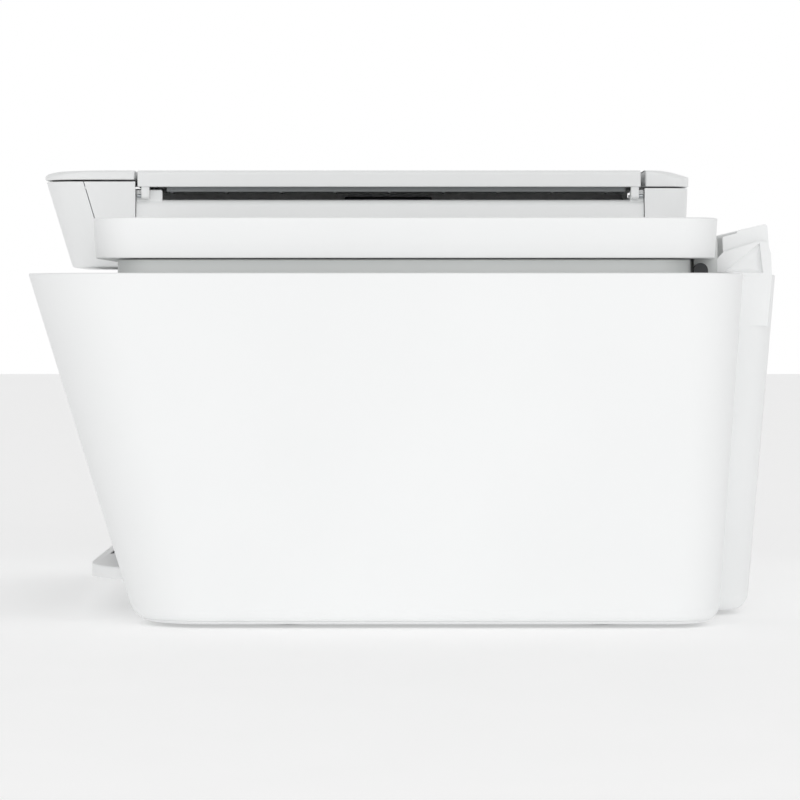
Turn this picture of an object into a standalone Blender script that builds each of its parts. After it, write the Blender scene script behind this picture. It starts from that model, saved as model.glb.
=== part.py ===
"""All-in-one inkjet printer with a flatbed scanner and a sheet feeder on its lid.

Metres, +Z up, front towards -Y, the printer's own left towards -X. The origin is the middle of the
footprint, at the height that the feet stand on.
"""

import math

import bmesh
import bpy
from mathutils import Matrix, Vector

# Driving dimensions
BODY_HALF_WIDTH = 0.214
BODY_TOP = 0.147
BODY_FRONT = -0.150
BODY_REAR = 0.1485
FRONT_RAKE = 0.309
REAR_RAKE = 0.0667
SIDE_RAKE = 0.053
FRONT_CORNER = 0.034
REAR_CORNER = 0.021
BOTTOM_FILLET = 0.0075
BODY_BOTTOM = 0.0015
SEAM = 0.0052
WALL = 0.0022
GAP = 0.0004

# Paper path, shared by the feed well, the trays and the output slot
PAPER_LEFT = -0.092
PAPER_RIGHT = 0.140
BUMP_REAR = 0.1687
BUMP_CORNER = 0.014

# Lid and sheet feeder
LID_LEFT = -0.2032
LID_RIGHT = 0.205
LID_FRONT = -0.1220
LID_REAR = 0.1382
LID_BOTTOM = 0.1532
LID_TOP = 0.1700
LID_FLOOR = 0.1585
LID_RIM = 0.004
LID_REAR_RIM = 0.0127
LID_CORNER = 0.018
LID_AXIS = (0.134, 0.160)
HUMP_LEFT = -0.206
HUMP_RIGHT = -0.096
HUMP_BOTTOM = 0.153
HUMP_TOP = 0.1922
HUMP_FRONT_TOP = 0.1955
CAP_BOTTOM = 0.1929
FRONT_CAP_BOTTOM = 0.1964
CAP_TOP = 0.2010
MOUTH_FRONT = -0.1252
MOUTH_REAR = 0.1271
HUMP_FRONT_CORNER = 0.016
HUMP_REAR_CORNER = 0.011

# Scanner
NECK_HALF_WIDTH = 0.200
NECK_FRONT = -0.1108
NECK_REAR = 0.1271
NECK_TOP = 0.1524
NECK_CORNER = 0.014
DECK_TOP = 0.143
DECK_THICKNESS = 0.0025
GLASS_LEFT = -0.178
GLASS_RIGHT = 0.160
GLASS_FRONT = -0.101
GLASS_REAR = 0.118
GLASS_LEDGE = 0.004
GLASS_SEAT = 0.1475
GLASS_THICKNESS = 0.0025
TUB_BOTTOM = 0.112

# Print mechanism
CHASSIS_HALF_WIDTH = 0.190
PLATE = 0.0025
FEED_AXIS = (0.020, 0.040)
FEED_RADIUS = 0.006
EJECT_AXIS = (-0.048, 0.034)
EJECT_RADIUS = 0.005
PICK_AXIS = (0.0758, 0.0741)
PICK_RADIUS = 0.014
ROD_AXIS = (0.017, 0.073)
ROD_RADIUS = 0.004
BELT_Y = 0.0315
BELT_HALF_SPAN = 0.172
PULLEY_RADIUS = 0.0055
BELT_Z = (0.0895, 0.0945)
SHAFT_RADIUS = 0.003
RUNNING = 0.0004

# Gears, module 1 mm
MODULE = 0.001
FEED_TEETH = 36
IDLER_TEETH = 36
EJECT_TEETH = 30
PINION_TEETH = 12
GEAR_LEFT = -0.2005
GEAR_RIGHT = -0.1945

# Output slot and its doors
SLOT_BOTTOM = 0.0135
SLOT_TOP = 0.104
SLOT_SIDE = 0.004
DOOR_BOTTOM = 0.0545
DOOR_THICKNESS = 0.0026
DOOR_AXIS_RISE = 0.0016
TRAY_LIP_FRONT = -0.1294
TRAY_LIP_BACK = -0.1122
TRAY_LIP_BOTTOM = 0.0158
TRAY_LIP_TOP = 0.0213
TRAY_LIP_CORNER = 0.036
CATCH_AXIS = (-0.1240, 0.0198)

# Rear feed
REAR_AXIS = (0.1643, 0.150)
SUPPORT_TOP = 0.1688

# Control panel
BUTTON_RADIUS = 0.004
BUTTON_Y = -0.1395
BUTTON_TOP = 0.2013
BUTTONS = {
    "power_button": -0.194,
    "wireless_button": -0.181,
    "copy_button": -0.122,
    "cancel_button": -0.1085,
}
DISPLAY = (-0.170, -0.134)

for old in list(bpy.data.objects):
    bpy.data.objects.remove(old, do_unlink=True)
printer = bpy.data.collections.new("inkjet_printer")
cutters = bpy.data.collections.new("cutters")
bpy.context.scene.collection.children.link(printer)
bpy.context.scene.collection.children.link(cutters)


def material(name, hex_colour, roughness=0.5, metallic=0.0):
    """A Principled material, with its sRGB colour turned to linear."""
    made = bpy.data.materials.new(name)
    made.use_nodes = True
    shader = made.node_tree.nodes["Principled BSDF"]
    channels = [int(hex_colour[i : i + 2], 16) / 255 for i in (0, 2, 4)]
    linear = [c / 12.92 if c <= 0.04045 else ((c + 0.055) / 1.055) ** 2.4 for c in channels]
    shader.inputs["Base Color"].default_value = (*linear, 1)
    shader.inputs["Roughness"].default_value = roughness
    shader.inputs["Metallic"].default_value = metallic
    return made


WHITE = material("white_abs", "f4f5f5", 0.4)
PALE_GREY = material("pale_grey_abs", "d9dbda", 0.5)
DARK_GREY = material("dark_grey_abs", "3c3e40", 0.5)
BLACK = material("black_abs", "17181a", 0.45)
STEEL = material("zinc_plated_steel", "b4b8bb", 0.35, 1.0)
RUBBER = material("rubber", "2b2c2e", 0.8)
BOARD = material("circuit_board", "1f5a36", 0.5)
GLASS = material("float_glass", "b9c6c4", 0.05)
FOAM = material("white_foam", "f1f1ee", 0.9)


def place(obj, colour, folder=printer):
    """Moves an object into its collection and gives it its material."""
    for other in list(obj.users_collection):
        other.objects.unlink(obj)
    folder.objects.link(obj)
    if colour is not None:
        obj.data.materials.clear()
        obj.data.materials.append(colour)
    if folder is cutters:
        obj.hide_render = True
        obj.display_type = "WIRE"
    return obj


def smooth(obj):
    obj.data.shade_smooth()
    obj.data.set_sharp_from_angle(angle=math.radians(35))
    return obj


def box(name, x, y, z, colour=None, folder=printer, bevel=0.0, segments=2):
    """A box from (low, high) pairs, with its scale applied and rounded edges if asked."""
    centre = [(low + high) / 2 for low, high in (x, y, z)]
    bpy.ops.mesh.primitive_cube_add(size=1, location=centre)
    obj = bpy.context.object
    obj.name = name
    obj.data.transform(Matrix.Diagonal([high - low for low, high in (x, y, z)] + [1]))
    if bevel:
        rounding = obj.modifiers.new("rounding", "BEVEL")
        rounding.width = bevel
        rounding.segments = segments
    return place(obj, colour, folder)


def cylinder(name, start, end, radius, colour=None, folder=printer, sides=20):
    """A cylinder between two points."""
    start, end = Vector(start), Vector(end)
    bpy.ops.mesh.primitive_cylinder_add(
        vertices=sides, radius=radius, depth=(end - start).length, location=(start + end) / 2
    )
    obj = bpy.context.object
    obj.name = name
    obj.rotation_euler = (end - start).to_track_quat("Z", "Y").to_euler()
    return smooth(place(obj, colour, folder))


def prism(name, outline, axis, span, colour=None, folder=printer):
    """A flat outline given thickness along an axis, from a filled 2D curve.

    The outline's two coordinates are (Y, Z) for axis X, (X, Z) for axis Y and (X, Y) for axis Z.
    """
    curve = bpy.data.curves.new(name, "CURVE")
    curve.dimensions = "2D"
    curve.fill_mode = "BOTH"
    low, high = span
    curve.extrude = (high - low) / 2
    spline = curve.splines.new("POLY")
    spline.points.add(len(outline) - 1)
    for point, (a, b) in zip(spline.points, outline):
        point.co = (a, b, 0, 1)
    spline.use_cyclic_u = True
    drawn = bpy.data.objects.new(name + "_outline", curve)
    cutters.objects.link(drawn)
    middle = (low + high) / 2
    turns = {
        "X": Matrix(((0, 0, 1, middle), (1, 0, 0, 0), (0, 1, 0, 0), (0, 0, 0, 1))),
        "Y": Matrix(((1, 0, 0, 0), (0, 0, -1, middle), (0, 1, 0, 0), (0, 0, 0, 1))),
        "Z": Matrix.Translation((0, 0, middle)),
    }
    drawn.matrix_world = turns[axis]
    bpy.context.view_layer.update()
    mesh = bpy.data.meshes.new_from_object(drawn.evaluated_get(bpy.context.evaluated_depsgraph_get()))
    bm = bmesh.new()
    bm.from_mesh(mesh)
    bmesh.ops.remove_doubles(bm, verts=bm.verts, dist=1e-5)
    bmesh.ops.recalc_face_normals(bm, faces=bm.faces)
    bm.to_mesh(mesh)
    bm.free()
    obj = bpy.data.objects.new(name, mesh)
    obj.matrix_world = drawn.matrix_world.copy()
    printer.objects.link(obj)
    bpy.data.objects.remove(drawn)
    return smooth(place(obj, colour, folder))


def loft(name, rings, colour=None, folder=printer):
    """A closed solid through rings of equal point counts, low to high."""
    bm = bmesh.new()
    loops = [[bm.verts.new(p) for p in ring] for ring in rings]
    count = len(loops[0])
    for below, above in zip(loops, loops[1:]):
        for i in range(count):
            j = (i + 1) % count
            bm.faces.new((below[i], below[j], above[j], above[i]))
    bm.faces.new(list(reversed(loops[0])))
    bm.faces.new(loops[-1])
    mesh = bpy.data.meshes.new(name)
    bm.to_mesh(mesh)
    bm.free()
    obj = bpy.data.objects.new(name, mesh)
    printer.objects.link(obj)
    return smooth(place(obj, colour, folder))


def shell(name, ring, heights, wall, floor=None):
    """A white solid through a ring at each height, hollowed by the same rings drawn in by the wall.

    With a floor height the hollow starts there, otherwise it runs through the bottom.
    """
    solid = loft(name, [ring(z) for z in heights], WHITE)
    low = heights[0] - 0.002 if floor is None else floor
    inner = [low] + [z for z in heights[1:-1] if z > low + 0.0005] + [heights[-1] + 0.004]
    return cut(solid, loft(name + "_hollow", [ring(z, wall) for z in inner], folder=cutters))


def outline(x0, x1, y0, y1, front, rear, steps=5):
    """A rounded rectangle, anticlockwise from its front left corner, with two corner radii."""
    corners = (
        (x0, y0, front, 180),
        (x1, y0, front, 270),
        (x1, y1, rear, 0),
        (x0, y1, rear, 90),
    )
    points = []
    for x, y, radius, start in corners:
        centre_x = x + (radius if x == x0 else -radius)
        centre_y = y + (radius if y == y0 else -radius)
        for step in range(steps + 1):
            angle = math.radians(start + 90 * step / steps)
            points.append((centre_x + radius * math.cos(angle), centre_y + radius * math.sin(angle)))
    return points


def combine(obj, others, operation):
    """Adds one Boolean for each other object, which becomes a helper."""
    for other in others:
        place(other, None, cutters)
        step = obj.modifiers.new(operation.lower() + "_" + other.name, "BOOLEAN")
        step.object = other
        step.operation = operation
    return obj


def cut(obj, *others):
    return combine(obj, others, "DIFFERENCE")


def join(obj, *others):
    return combine(obj, others, "UNION")


def hole(name, start, end, radius, sides=16):
    return cylinder(name, start, end, radius, folder=cutters, sides=sides)


def front_at(z):
    """The body's outer front face at a height."""
    return BODY_FRONT + (BODY_TOP - z) * FRONT_RAKE


def rear_at(z):
    return BODY_REAR - (BODY_TOP - z) * REAR_RAKE


def half_width_at(z):
    return BODY_HALF_WIDTH - (BODY_TOP - z) * SIDE_RAKE


def fillet_inset(z):
    """How far the bottom fillet draws the outline in at a height."""
    below = BODY_BOTTOM + BOTTOM_FILLET - z
    if below <= 0:
        return 0.0
    return BOTTOM_FILLET - math.sqrt(max(0.0, BOTTOM_FILLET**2 - below**2))


def body_ring(z, inset=0.0):
    """The body's outline at a height, drawn in by the bottom fillet and by an inset."""
    inset += fillet_inset(z)
    flat = outline(
        -half_width_at(z) + inset,
        half_width_at(z) - inset,
        front_at(z) + inset,
        rear_at(z) - inset,
        FRONT_CORNER - min(inset, 0.006),
        REAR_CORNER - min(inset, 0.006),
    )
    return [(x, y, z) for x, y in flat]


def fillet_heights(low, high, steps):
    return [low + (high - low) * i / steps for i in range(steps + 1)]


# Body: a pan below the seam line, the bowl-shaped housing above it, and four feet
FILLET_TOP = BODY_BOTTOM + BOTTOM_FILLET
PAN_TOP = SEAM - 0.0003
RAIL_TOP = 0.0178


def make_body():
    housing = shell("main_housing", body_ring, (SEAM, 0.007, FILLET_TOP, BODY_TOP), WALL)
    slot = box(
        "slot_cutter",
        (PAPER_LEFT - SLOT_SIDE, PAPER_RIGHT + SLOT_SIDE),
        (BODY_FRONT - 0.02, front_at(SLOT_BOTTOM) + 0.02),
        (SLOT_BOTTOM, SLOT_TOP),
        bevel=0.003,
        segments=3,
    )
    well = box(
        "well_cutter",
        (PAPER_LEFT + 0.004, PAPER_RIGHT - 0.004),
        (REAR_CORNER + 0.08, BODY_REAR + 0.02),
        (0.012, BODY_TOP + 0.01),
    )
    usb = box("usb_cutter", (-0.1668, -0.1532), (0.13, 0.16), (0.0312, 0.0438))
    inlet = box("inlet_cutter", (0.1596, 0.1844), (0.13, 0.16), (0.0216, 0.0404))
    cut(housing, slot, well, usb, inlet)

    heights = (BODY_BOTTOM, 0.0022, 0.0034, PAN_TOP)
    pan = shell("base_pan", body_ring, heights, WALL, floor=BODY_BOTTOM + WALL)
    rails = [
        box("rail_left", (-0.0975, -0.0932), (-0.095, 0.010), (0.003, RAIL_TOP)),
        box("rail_right", (0.1412, 0.1455), (-0.095, 0.010), (0.003, RAIL_TOP)),
    ]
    join(pan, *rails)
    for side, x in (("left", -0.175), ("right", 0.175)):
        for end, y in (("front", -0.041), ("rear", 0.090)):
            foot_name = f"foot_{end}_{side}"
            cut(pan, hole(foot_name + "_recess", (x, y, 0), (x, y, 0.0026), 0.0083))
            cylinder(foot_name, (x, y, 0), (x, y, 0.0023), 0.008, RUBBER, sides=16)


def bump_ring(z, inset=0.0):
    """The feed well's outline at a height; an inset draws its walls in and opens its front."""
    start = rear_at(z) + GAP - (0.01 if inset else 0)
    inset += fillet_inset(z)
    rear = BUMP_REAR - (BODY_TOP - z) * 0.085 - inset
    left, right = PAPER_LEFT + inset, PAPER_RIGHT - inset
    corner = BUMP_CORNER - min(inset, 0.006)
    points = [(right, start)]
    for centre_x, first in ((right - corner, 0), (left + corner, 90)):
        for step in range(6):
            angle = math.radians(first + 18 * step)
            points.append((centre_x + corner * math.cos(angle), rear - corner + corner * math.sin(angle)))
    points.append((left, start))
    return [(x, y, z) for x, y in points]


def make_rear_housing():
    heights = (BODY_BOTTOM + 0.001, 0.0045, FILLET_TOP, BODY_TOP)
    rear = shell("rear_housing", bump_ring, heights, WALL, floor=BODY_BOTTOM + 0.001 + WALL)
    rises = [
        (0.1492, -0.0220),
        (0.1492, 0.0008),
        (0.1400, 0.0010),
        (0.1400, 0.0040),
        (0.1452, 0.0098),
        (0.1592, 0.0142),
        (0.1640, 0.0142),
        (0.1656, 0.0090),
        (0.1660, -0.0010),
        (0.1640, -0.0220),
    ]
    gusset = [(y, BODY_TOP + rise) for y, rise in rises]
    left = prism("gusset_left", gusset, "X", (PAPER_LEFT + 0.0002, PAPER_LEFT + 0.0030))
    right = prism("gusset_right", gusset, "X", (PAPER_RIGHT - 0.0030, PAPER_RIGHT - 0.0002))
    join(rear, left, right)
    y, z = REAR_AXIS
    cut(
        rear,
        hole("rear_bore_left", (PAPER_LEFT - 0.01, y, z), (PAPER_LEFT + 0.01, y, z), 0.0016),
        hole("rear_bore_right", (PAPER_RIGHT - 0.01, y, z), (PAPER_RIGHT + 0.01, y, z), 0.0016),
    )
    chute = [(0.0720, 0.0477), (0.1585, 0.1211), (0.1572, 0.1226), (0.0707, 0.0492)]
    prism("paper_chute", chute, "X", (PAPER_LEFT + 0.006, PAPER_RIGHT - 0.006), PALE_GREY)


# Scanner: a deck with a raised neck, its glass, the tub below and the bar that travels in it
def make_scanner():
    low, high = DECK_TOP - DECK_THICKNESS, DECK_TOP
    frame = loft("scanner_frame", [body_ring(z, WALL + GAP) for z in (low, high)], PALE_GREY)
    neck = prism(
        "neck",
        outline(-NECK_HALF_WIDTH, NECK_HALF_WIDTH, NECK_FRONT, NECK_REAR, NECK_CORNER, NECK_CORNER),
        "Z",
        (low + 0.001, NECK_TOP),
    )
    join(frame, neck)
    seat = box(
        "glass_seat",
        (GLASS_LEFT, GLASS_RIGHT),
        (GLASS_FRONT, GLASS_REAR),
        (GLASS_SEAT, NECK_TOP + 0.01),
    )
    window = box(
        "window",
        (GLASS_LEFT + GLASS_LEDGE, GLASS_RIGHT - GLASS_LEDGE),
        (GLASS_FRONT + GLASS_LEDGE, GLASS_REAR - GLASS_LEDGE),
        (low - 0.01, NECK_TOP + 0.02),
    )
    well = box("deck_notch", (PAPER_LEFT + 0.001, PAPER_RIGHT - 0.001), (0.1395, 0.17), (low - 0.01, 0.16))
    cut(frame, seat, window, well)
    box(
        "scanner_glass",
        (GLASS_LEFT + GAP, GLASS_RIGHT - GAP),
        (GLASS_FRONT + GAP, GLASS_REAR - GAP),
        (GLASS_SEAT + 0.0003, GLASS_SEAT + 0.0003 + GLASS_THICKNESS),
        GLASS,
    )
    tub = box(
        "scanner_tub",
        (GLASS_LEFT - 0.006, GLASS_RIGHT + 0.006),
        (GLASS_FRONT - 0.004, GLASS_REAR + 0.004),
        (TUB_BOTTOM, low - 0.0003),
        DARK_GREY,
    )
    cavity = box(
        "tub_cavity",
        (GLASS_LEFT - 0.004, GLASS_RIGHT + 0.004),
        (GLASS_FRONT - 0.002, GLASS_REAR + 0.002),
        (TUB_BOTTOM + 0.002, low + 0.01),
    )
    cut(tub, cavity)
    rod_z = 0.1195
    rod_ends = (GLASS_LEFT - 0.005, 0.008, rod_z), (GLASS_RIGHT + 0.005, 0.008, rod_z)
    join(tub, cylinder("scan_rod", *rod_ends, 0.003, sides=12))
    bar = box(
        "scan_bar",
        (GLASS_LEFT + 0.006, GLASS_LEFT + 0.024),
        (GLASS_FRONT + 0.006, GLASS_REAR - 0.006),
        (0.1265, 0.1466),
        BLACK,
        bevel=0.001,
        segments=1,
    )
    shoe = box(
        "scan_shoe",
        (GLASS_LEFT + 0.0065, GLASS_LEFT + 0.0235),
        (-0.001, 0.017),
        (0.1148, 0.128),
    )
    join(bar, shoe)
    bore = hole("scan_bore", (GLASS_LEFT, 0.008, rod_z), (GLASS_LEFT + 0.03, 0.008, rod_z), 0.0034, 12)
    cut(bar, bore)
    return frame


def gear_outline(centre, teeth, phase):
    """A spur gear's outline: four points a tooth, with the flanks straight between root and tip."""
    pitch = MODULE * teeth / 2
    root, tip = pitch - 1.2 * MODULE, pitch + 0.85 * MODULE
    step = 2 * math.pi / teeth
    points = []
    for tooth in range(teeth):
        middle = phase + tooth * step
        for radius, share in ((root, -0.27), (tip, -0.1), (tip, 0.1), (root, 0.27)):
            angle = middle + share * step
            points.append((centre[0] + radius * math.cos(angle), centre[1] + radius * math.sin(angle)))
    return points


def meshing_phase(centre, teeth, phase, other_centre, other_teeth):
    """The phase that puts the other gear's gap where this gear's tooth points at it."""
    toward = math.atan2(other_centre[1] - centre[1], other_centre[0] - centre[0])
    part = (toward - phase) / (2 * math.pi / teeth) % 1
    return toward + math.pi - (0.5 - part) * 2 * math.pi / other_teeth


def between(first, first_radius, second, second_radius):
    """The lower of the two points at those distances from two centres."""
    a, b = Vector(first), Vector(second)
    apart = (b - a).length
    along = (first_radius**2 - second_radius**2 + apart**2) / (2 * apart)
    across = math.sqrt(max(0.0, first_radius**2 - along**2))
    ahead = (b - a) / apart
    side = Vector((-ahead.y, ahead.x))
    return min((a + ahead * along + side * across * s for s in (-1, 1)), key=lambda p: p.y)


PINION_ANGLE = math.radians(-20)
PINION_DISTANCE = MODULE * (FEED_TEETH + PINION_TEETH) / 2
PINION_CENTRE = (
    FEED_AXIS[0] + PINION_DISTANCE * math.cos(PINION_ANGLE),
    FEED_AXIS[1] + PINION_DISTANCE * math.sin(PINION_ANGLE),
)
IDLER_CENTRE = between(
    FEED_AXIS,
    MODULE * (FEED_TEETH + IDLER_TEETH) / 2,
    EJECT_AXIS,
    MODULE * (EJECT_TEETH + IDLER_TEETH) / 2,
)


def roller(name, axis, shaft_radius, shaft_span, tyres, radius, colour, sides=18):
    """A shaft along X with one or more tyres on it, each a span along X."""
    y, z = axis
    shaft = cylinder(name, (shaft_span[0], y, z), (shaft_span[1], y, z), shaft_radius, colour, sides=12)
    for i, (low, high) in enumerate(tyres):
        join(shaft, cylinder(f"{name}_tyre_{i}", (low, y, z), (high, y, z), radius, sides=sides))
    return shaft


def make_paper_drive():
    """The rollers and the gear train at the left that turns them together."""
    feed_phase = 0.0
    idler_phase = meshing_phase(FEED_AXIS, FEED_TEETH, feed_phase, IDLER_CENTRE, IDLER_TEETH)
    eject_phase = meshing_phase(IDLER_CENTRE, IDLER_TEETH, idler_phase, EJECT_AXIS, EJECT_TEETH)
    pinion_phase = meshing_phase(FEED_AXIS, FEED_TEETH, feed_phase, PINION_CENTRE, PINION_TEETH)
    span = (GEAR_LEFT, GEAR_RIGHT)
    shaft_end = CHASSIS_HALF_WIDTH + 0.005
    feed = roller(
        "feed_roller",
        FEED_AXIS,
        SHAFT_RADIUS,
        (GEAR_LEFT - 0.001, shaft_end),
        [(PAPER_LEFT, PAPER_RIGHT)],
        FEED_RADIUS,
        RUBBER,
    )
    join(feed, prism("feed_gear", gear_outline(FEED_AXIS, FEED_TEETH, feed_phase), "X", span))
    eject = roller(
        "eject_roller",
        EJECT_AXIS,
        SHAFT_RADIUS,
        (GEAR_LEFT - 0.001, shaft_end),
        [(x, x + 0.008) for x in (-0.078, -0.022, 0.034, 0.090)],
        EJECT_RADIUS,
        RUBBER,
        12,
    )
    join(eject, prism("eject_gear", gear_outline(EJECT_AXIS, EJECT_TEETH, eject_phase), "X", span))
    idler = prism("idler_gear", gear_outline(IDLER_CENTRE, IDLER_TEETH, idler_phase), "X", span, WHITE)
    y, z = IDLER_CENTRE
    join(idler, cylinder("idler_stub", (-0.1965, y, z), (-0.1885, y, z), SHAFT_RADIUS, sides=12))
    pinion = prism("motor_pinion", gear_outline(PINION_CENTRE, PINION_TEETH, pinion_phase), "X", span, STEEL)
    y, z = PINION_CENTRE
    join(pinion, cylinder("pinion_stub", (-0.1965, y, z), (-0.1902, y, z), 0.0015, sides=12))
    cylinder("feed_motor", (-0.1895, y, z), (-0.166, y, z), 0.0125, STEEL, sides=20)
    roller(
        "pick_roller",
        PICK_AXIS,
        SHAFT_RADIUS,
        (-shaft_end, shaft_end),
        [(0.002, 0.046)],
        PICK_RADIUS,
        RUBBER,
        20,
    )


# Chassis and carriage
BEAM = ((0.0295, 0.0325), (0.060, 0.086))
CARRIAGE_X = (0.112, 0.184)
CARRIAGE_Y = (-0.046, 0.0085)
CARRIAGE_Z = (0.046, 0.098)
CARTRIDGE_WIDTH = 0.0296
CARTRIDGE_PITCH = 0.0342


def make_chassis():
    chassis = box("chassis", (-0.1925, 0.1925), *BEAM, STEEL)
    outline_yz = [
        (-0.058, 0.012),
        (0.088, 0.012),
        (0.088, 0.084),
        (0.060, 0.108),
        (-0.010, 0.108),
        (-0.058, 0.060),
    ]
    ends = {
        "left": (-CHASSIS_HALF_WIDTH - PLATE, -CHASSIS_HALF_WIDTH),
        "right": (CHASSIS_HALF_WIDTH, CHASSIS_HALF_WIDTH + PLATE),
    }
    for side, span in ends.items():
        join(chassis, prism(f"plate_{side}", outline_yz, "X", span))
    bores = {
        "feed": (FEED_AXIS, SHAFT_RADIUS),
        "eject": (EJECT_AXIS, SHAFT_RADIUS),
        "pick": (PICK_AXIS, SHAFT_RADIUS),
        "rod": (ROD_AXIS, ROD_RADIUS),
    }
    for name, ((y, z), radius) in bores.items():
        cut(chassis, hole(f"{name}_bore", (-0.25, y, z), (0.25, y, z), radius + RUNNING, 12))
    for name, (y, z), radius in (("idler", IDLER_CENTRE, SHAFT_RADIUS), ("pinion", PINION_CENTRE, 0.0015)):
        cut(chassis, hole(f"{name}_bore", (-0.25, y, z), (-0.15, y, z), radius + RUNNING, 12))
    y, z = ROD_AXIS
    cylinder("carriage_rod", (-0.1935, y, z), (0.1935, y, z), ROD_RADIUS, STEEL, sides=16)

    platen = box("platen", (-0.100, 0.146), (-0.040, 0.0125), (0.026, 0.0335), BLACK)
    ribs = [
        box(f"platen_rib_{i}", (x, x + 0.0015), (-0.039, 0.011), (0.031, 0.0355))
        for i, x in enumerate(-0.088 + 0.0276 * k for k in range(9))
    ]
    join(platen, *ribs)

    station = box("service_station", (0.149, 0.187), (-0.040, 0.010), (0.0165, 0.042), PALE_GREY)
    for i in range(2):
        x = 0.1525 + 0.0175 * i
        cut(station, box(f"cap_cup_{i}", (x, x + 0.013), (-0.030, 0.002), (0.036, 0.05)))


def make_carriage():
    carriage = box("carriage", CARRIAGE_X, CARRIAGE_Y, CARRIAGE_Z, DARK_GREY)
    y, z = ROD_AXIS
    boss = box("carriage_boss", CARRIAGE_X, (0.006, y + 0.009), (z - 0.009, z + 0.008))
    clamp = box("belt_clamp", (0.138, 0.158), (0.004, 0.0243), (0.076, 0.0972))
    join(carriage, boss, clamp)
    cut(carriage, hole("carriage_bore", (0.1, y, z), (0.2, y, z), ROD_RADIUS + RUNNING, 16))
    middle = sum(CARRIAGE_X) / 2
    for name, side, colour in (("black", 1, BLACK), ("colour", -1, DARK_GREY)):
        centre = middle + side * CARTRIDGE_PITCH / 2
        half = CARTRIDGE_WIDTH / 2
        bay = box(
            f"bay_{name}",
            (centre - half - GAP, centre + half + GAP),
            (-0.060, 0.0052),
            (0.0485, 0.11),
        )
        nozzle = box(
            f"nozzle_window_{name}",
            (centre - 0.006, centre + 0.006),
            (-0.032, -0.006),
            (0.04, 0.05),
        )
        cut(carriage, bay, nozzle)
        cartridge = box(
            f"ink_cartridge_{name}",
            (centre - half, centre + half),
            (-0.0440, 0.0048),
            (0.0489, 0.0945),
            colour,
            bevel=0.0015,
            segments=1,
        )
        snout = box(
            f"cartridge_nozzle_{name}",
            (centre - 0.0055, centre + 0.0055),
            (-0.0315, -0.0065),
            (0.0452, 0.052),
        )
        join(cartridge, snout)

    low, high = BELT_Z
    for side, x in (("drive", -BELT_HALF_SPAN), ("idler", BELT_HALF_SPAN)):
        spool = cylinder(
            f"belt_pulley_{side}",
            (x, BELT_Y, low - 0.0012),
            (x, BELT_Y, high + 0.0012),
            PULLEY_RADIUS,
            PALE_GREY,
            sides=20,
        )
        cut(spool, box(f"pulley_flat_{side}", (x + 0.0045, x + 0.01), (BELT_Y - 0.001, BELT_Y + 0.001), (0.09, 0.1)))
    stadium = []
    for centre, first in ((BELT_HALF_SPAN, -90), (-BELT_HALF_SPAN, 90)):
        stadium += [(centre, math.radians(first + 180 * i / 8)) for i in range(9)]

    def track(radius):
        return [(c + radius * math.cos(a), BELT_Y + radius * math.sin(a)) for c, a in stadium]

    belt = prism("carriage_belt", track(PULLEY_RADIUS + 0.0012), "Z", BELT_Z, RUBBER)
    cut(belt, prism("belt_inside", track(PULLEY_RADIUS + 0.0004), "Z", (low - 0.01, high + 0.01)))
    cylinder(
        "carriage_motor",
        (-BELT_HALF_SPAN, BELT_Y, 0.0975),
        (-BELT_HALF_SPAN, BELT_Y, 0.1112),
        0.0125,
        STEEL,
        sides=20,
    )


# Electronics at the back, with the sockets that come through the rear wall
def make_electronics():
    board = box("main_board", (-0.198, -0.102), (0.094, 0.1335), (0.0285, 0.0301), BOARD)
    chips = [
        box("chip", (-0.140, -0.124), (0.104, 0.120), (0.0295, 0.0318)),
        box("capacitor_block", (-0.192, -0.182), (0.100, 0.112), (0.0295, 0.040)),
    ]
    join(board, *chips)
    usb = box("usb_socket", (-0.1664, -0.1536), (0.126, 0.1404), (0.0316, 0.0434), STEEL)
    tongue = box("usb_tongue", (-0.1626, -0.1574), (0.130, 0.1394), (0.0356, 0.0394))
    cut(usb, box("usb_cavity", (-0.1652, -0.1548), (0.132, 0.15), (0.0328, 0.0422)))
    join(usb, tongue)

    supply = box("power_supply", (0.146, 0.1945), (0.092, 0.1325), (0.0095, 0.052), BLACK)
    inlet = box("power_inlet_block", (0.160, 0.184), (0.130, 0.1402), (0.022, 0.040))
    join(supply, inlet)
    y = (0.1345, 0.15)
    recess = box("inlet_recess", (0.168, 0.176), y, (0.0275, 0.0345))
    eyes = [hole(f"inlet_eye_{i}", (x, y[0], 0.031), (x, y[1], 0.031), 0.0045, 12) for i, x in enumerate((0.168, 0.176))]
    cut(supply, recess, *eyes)
    pins = [cylinder(f"inlet_pin_{i}", (x, 0.130, 0.031), (x, 0.1392, 0.031), 0.0011, sides=8) for i, x in enumerate((0.168, 0.176))]
    join(supply, *pins)


# Lid: a shallow tray over the glass, with hinge lugs at its rear edge
HINGE_X = {"left": (-0.0885, -0.0705), "right": (0.163, 0.181)}
HINGE_RADIUS = 0.005
LID_PIN = 0.0022


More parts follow.
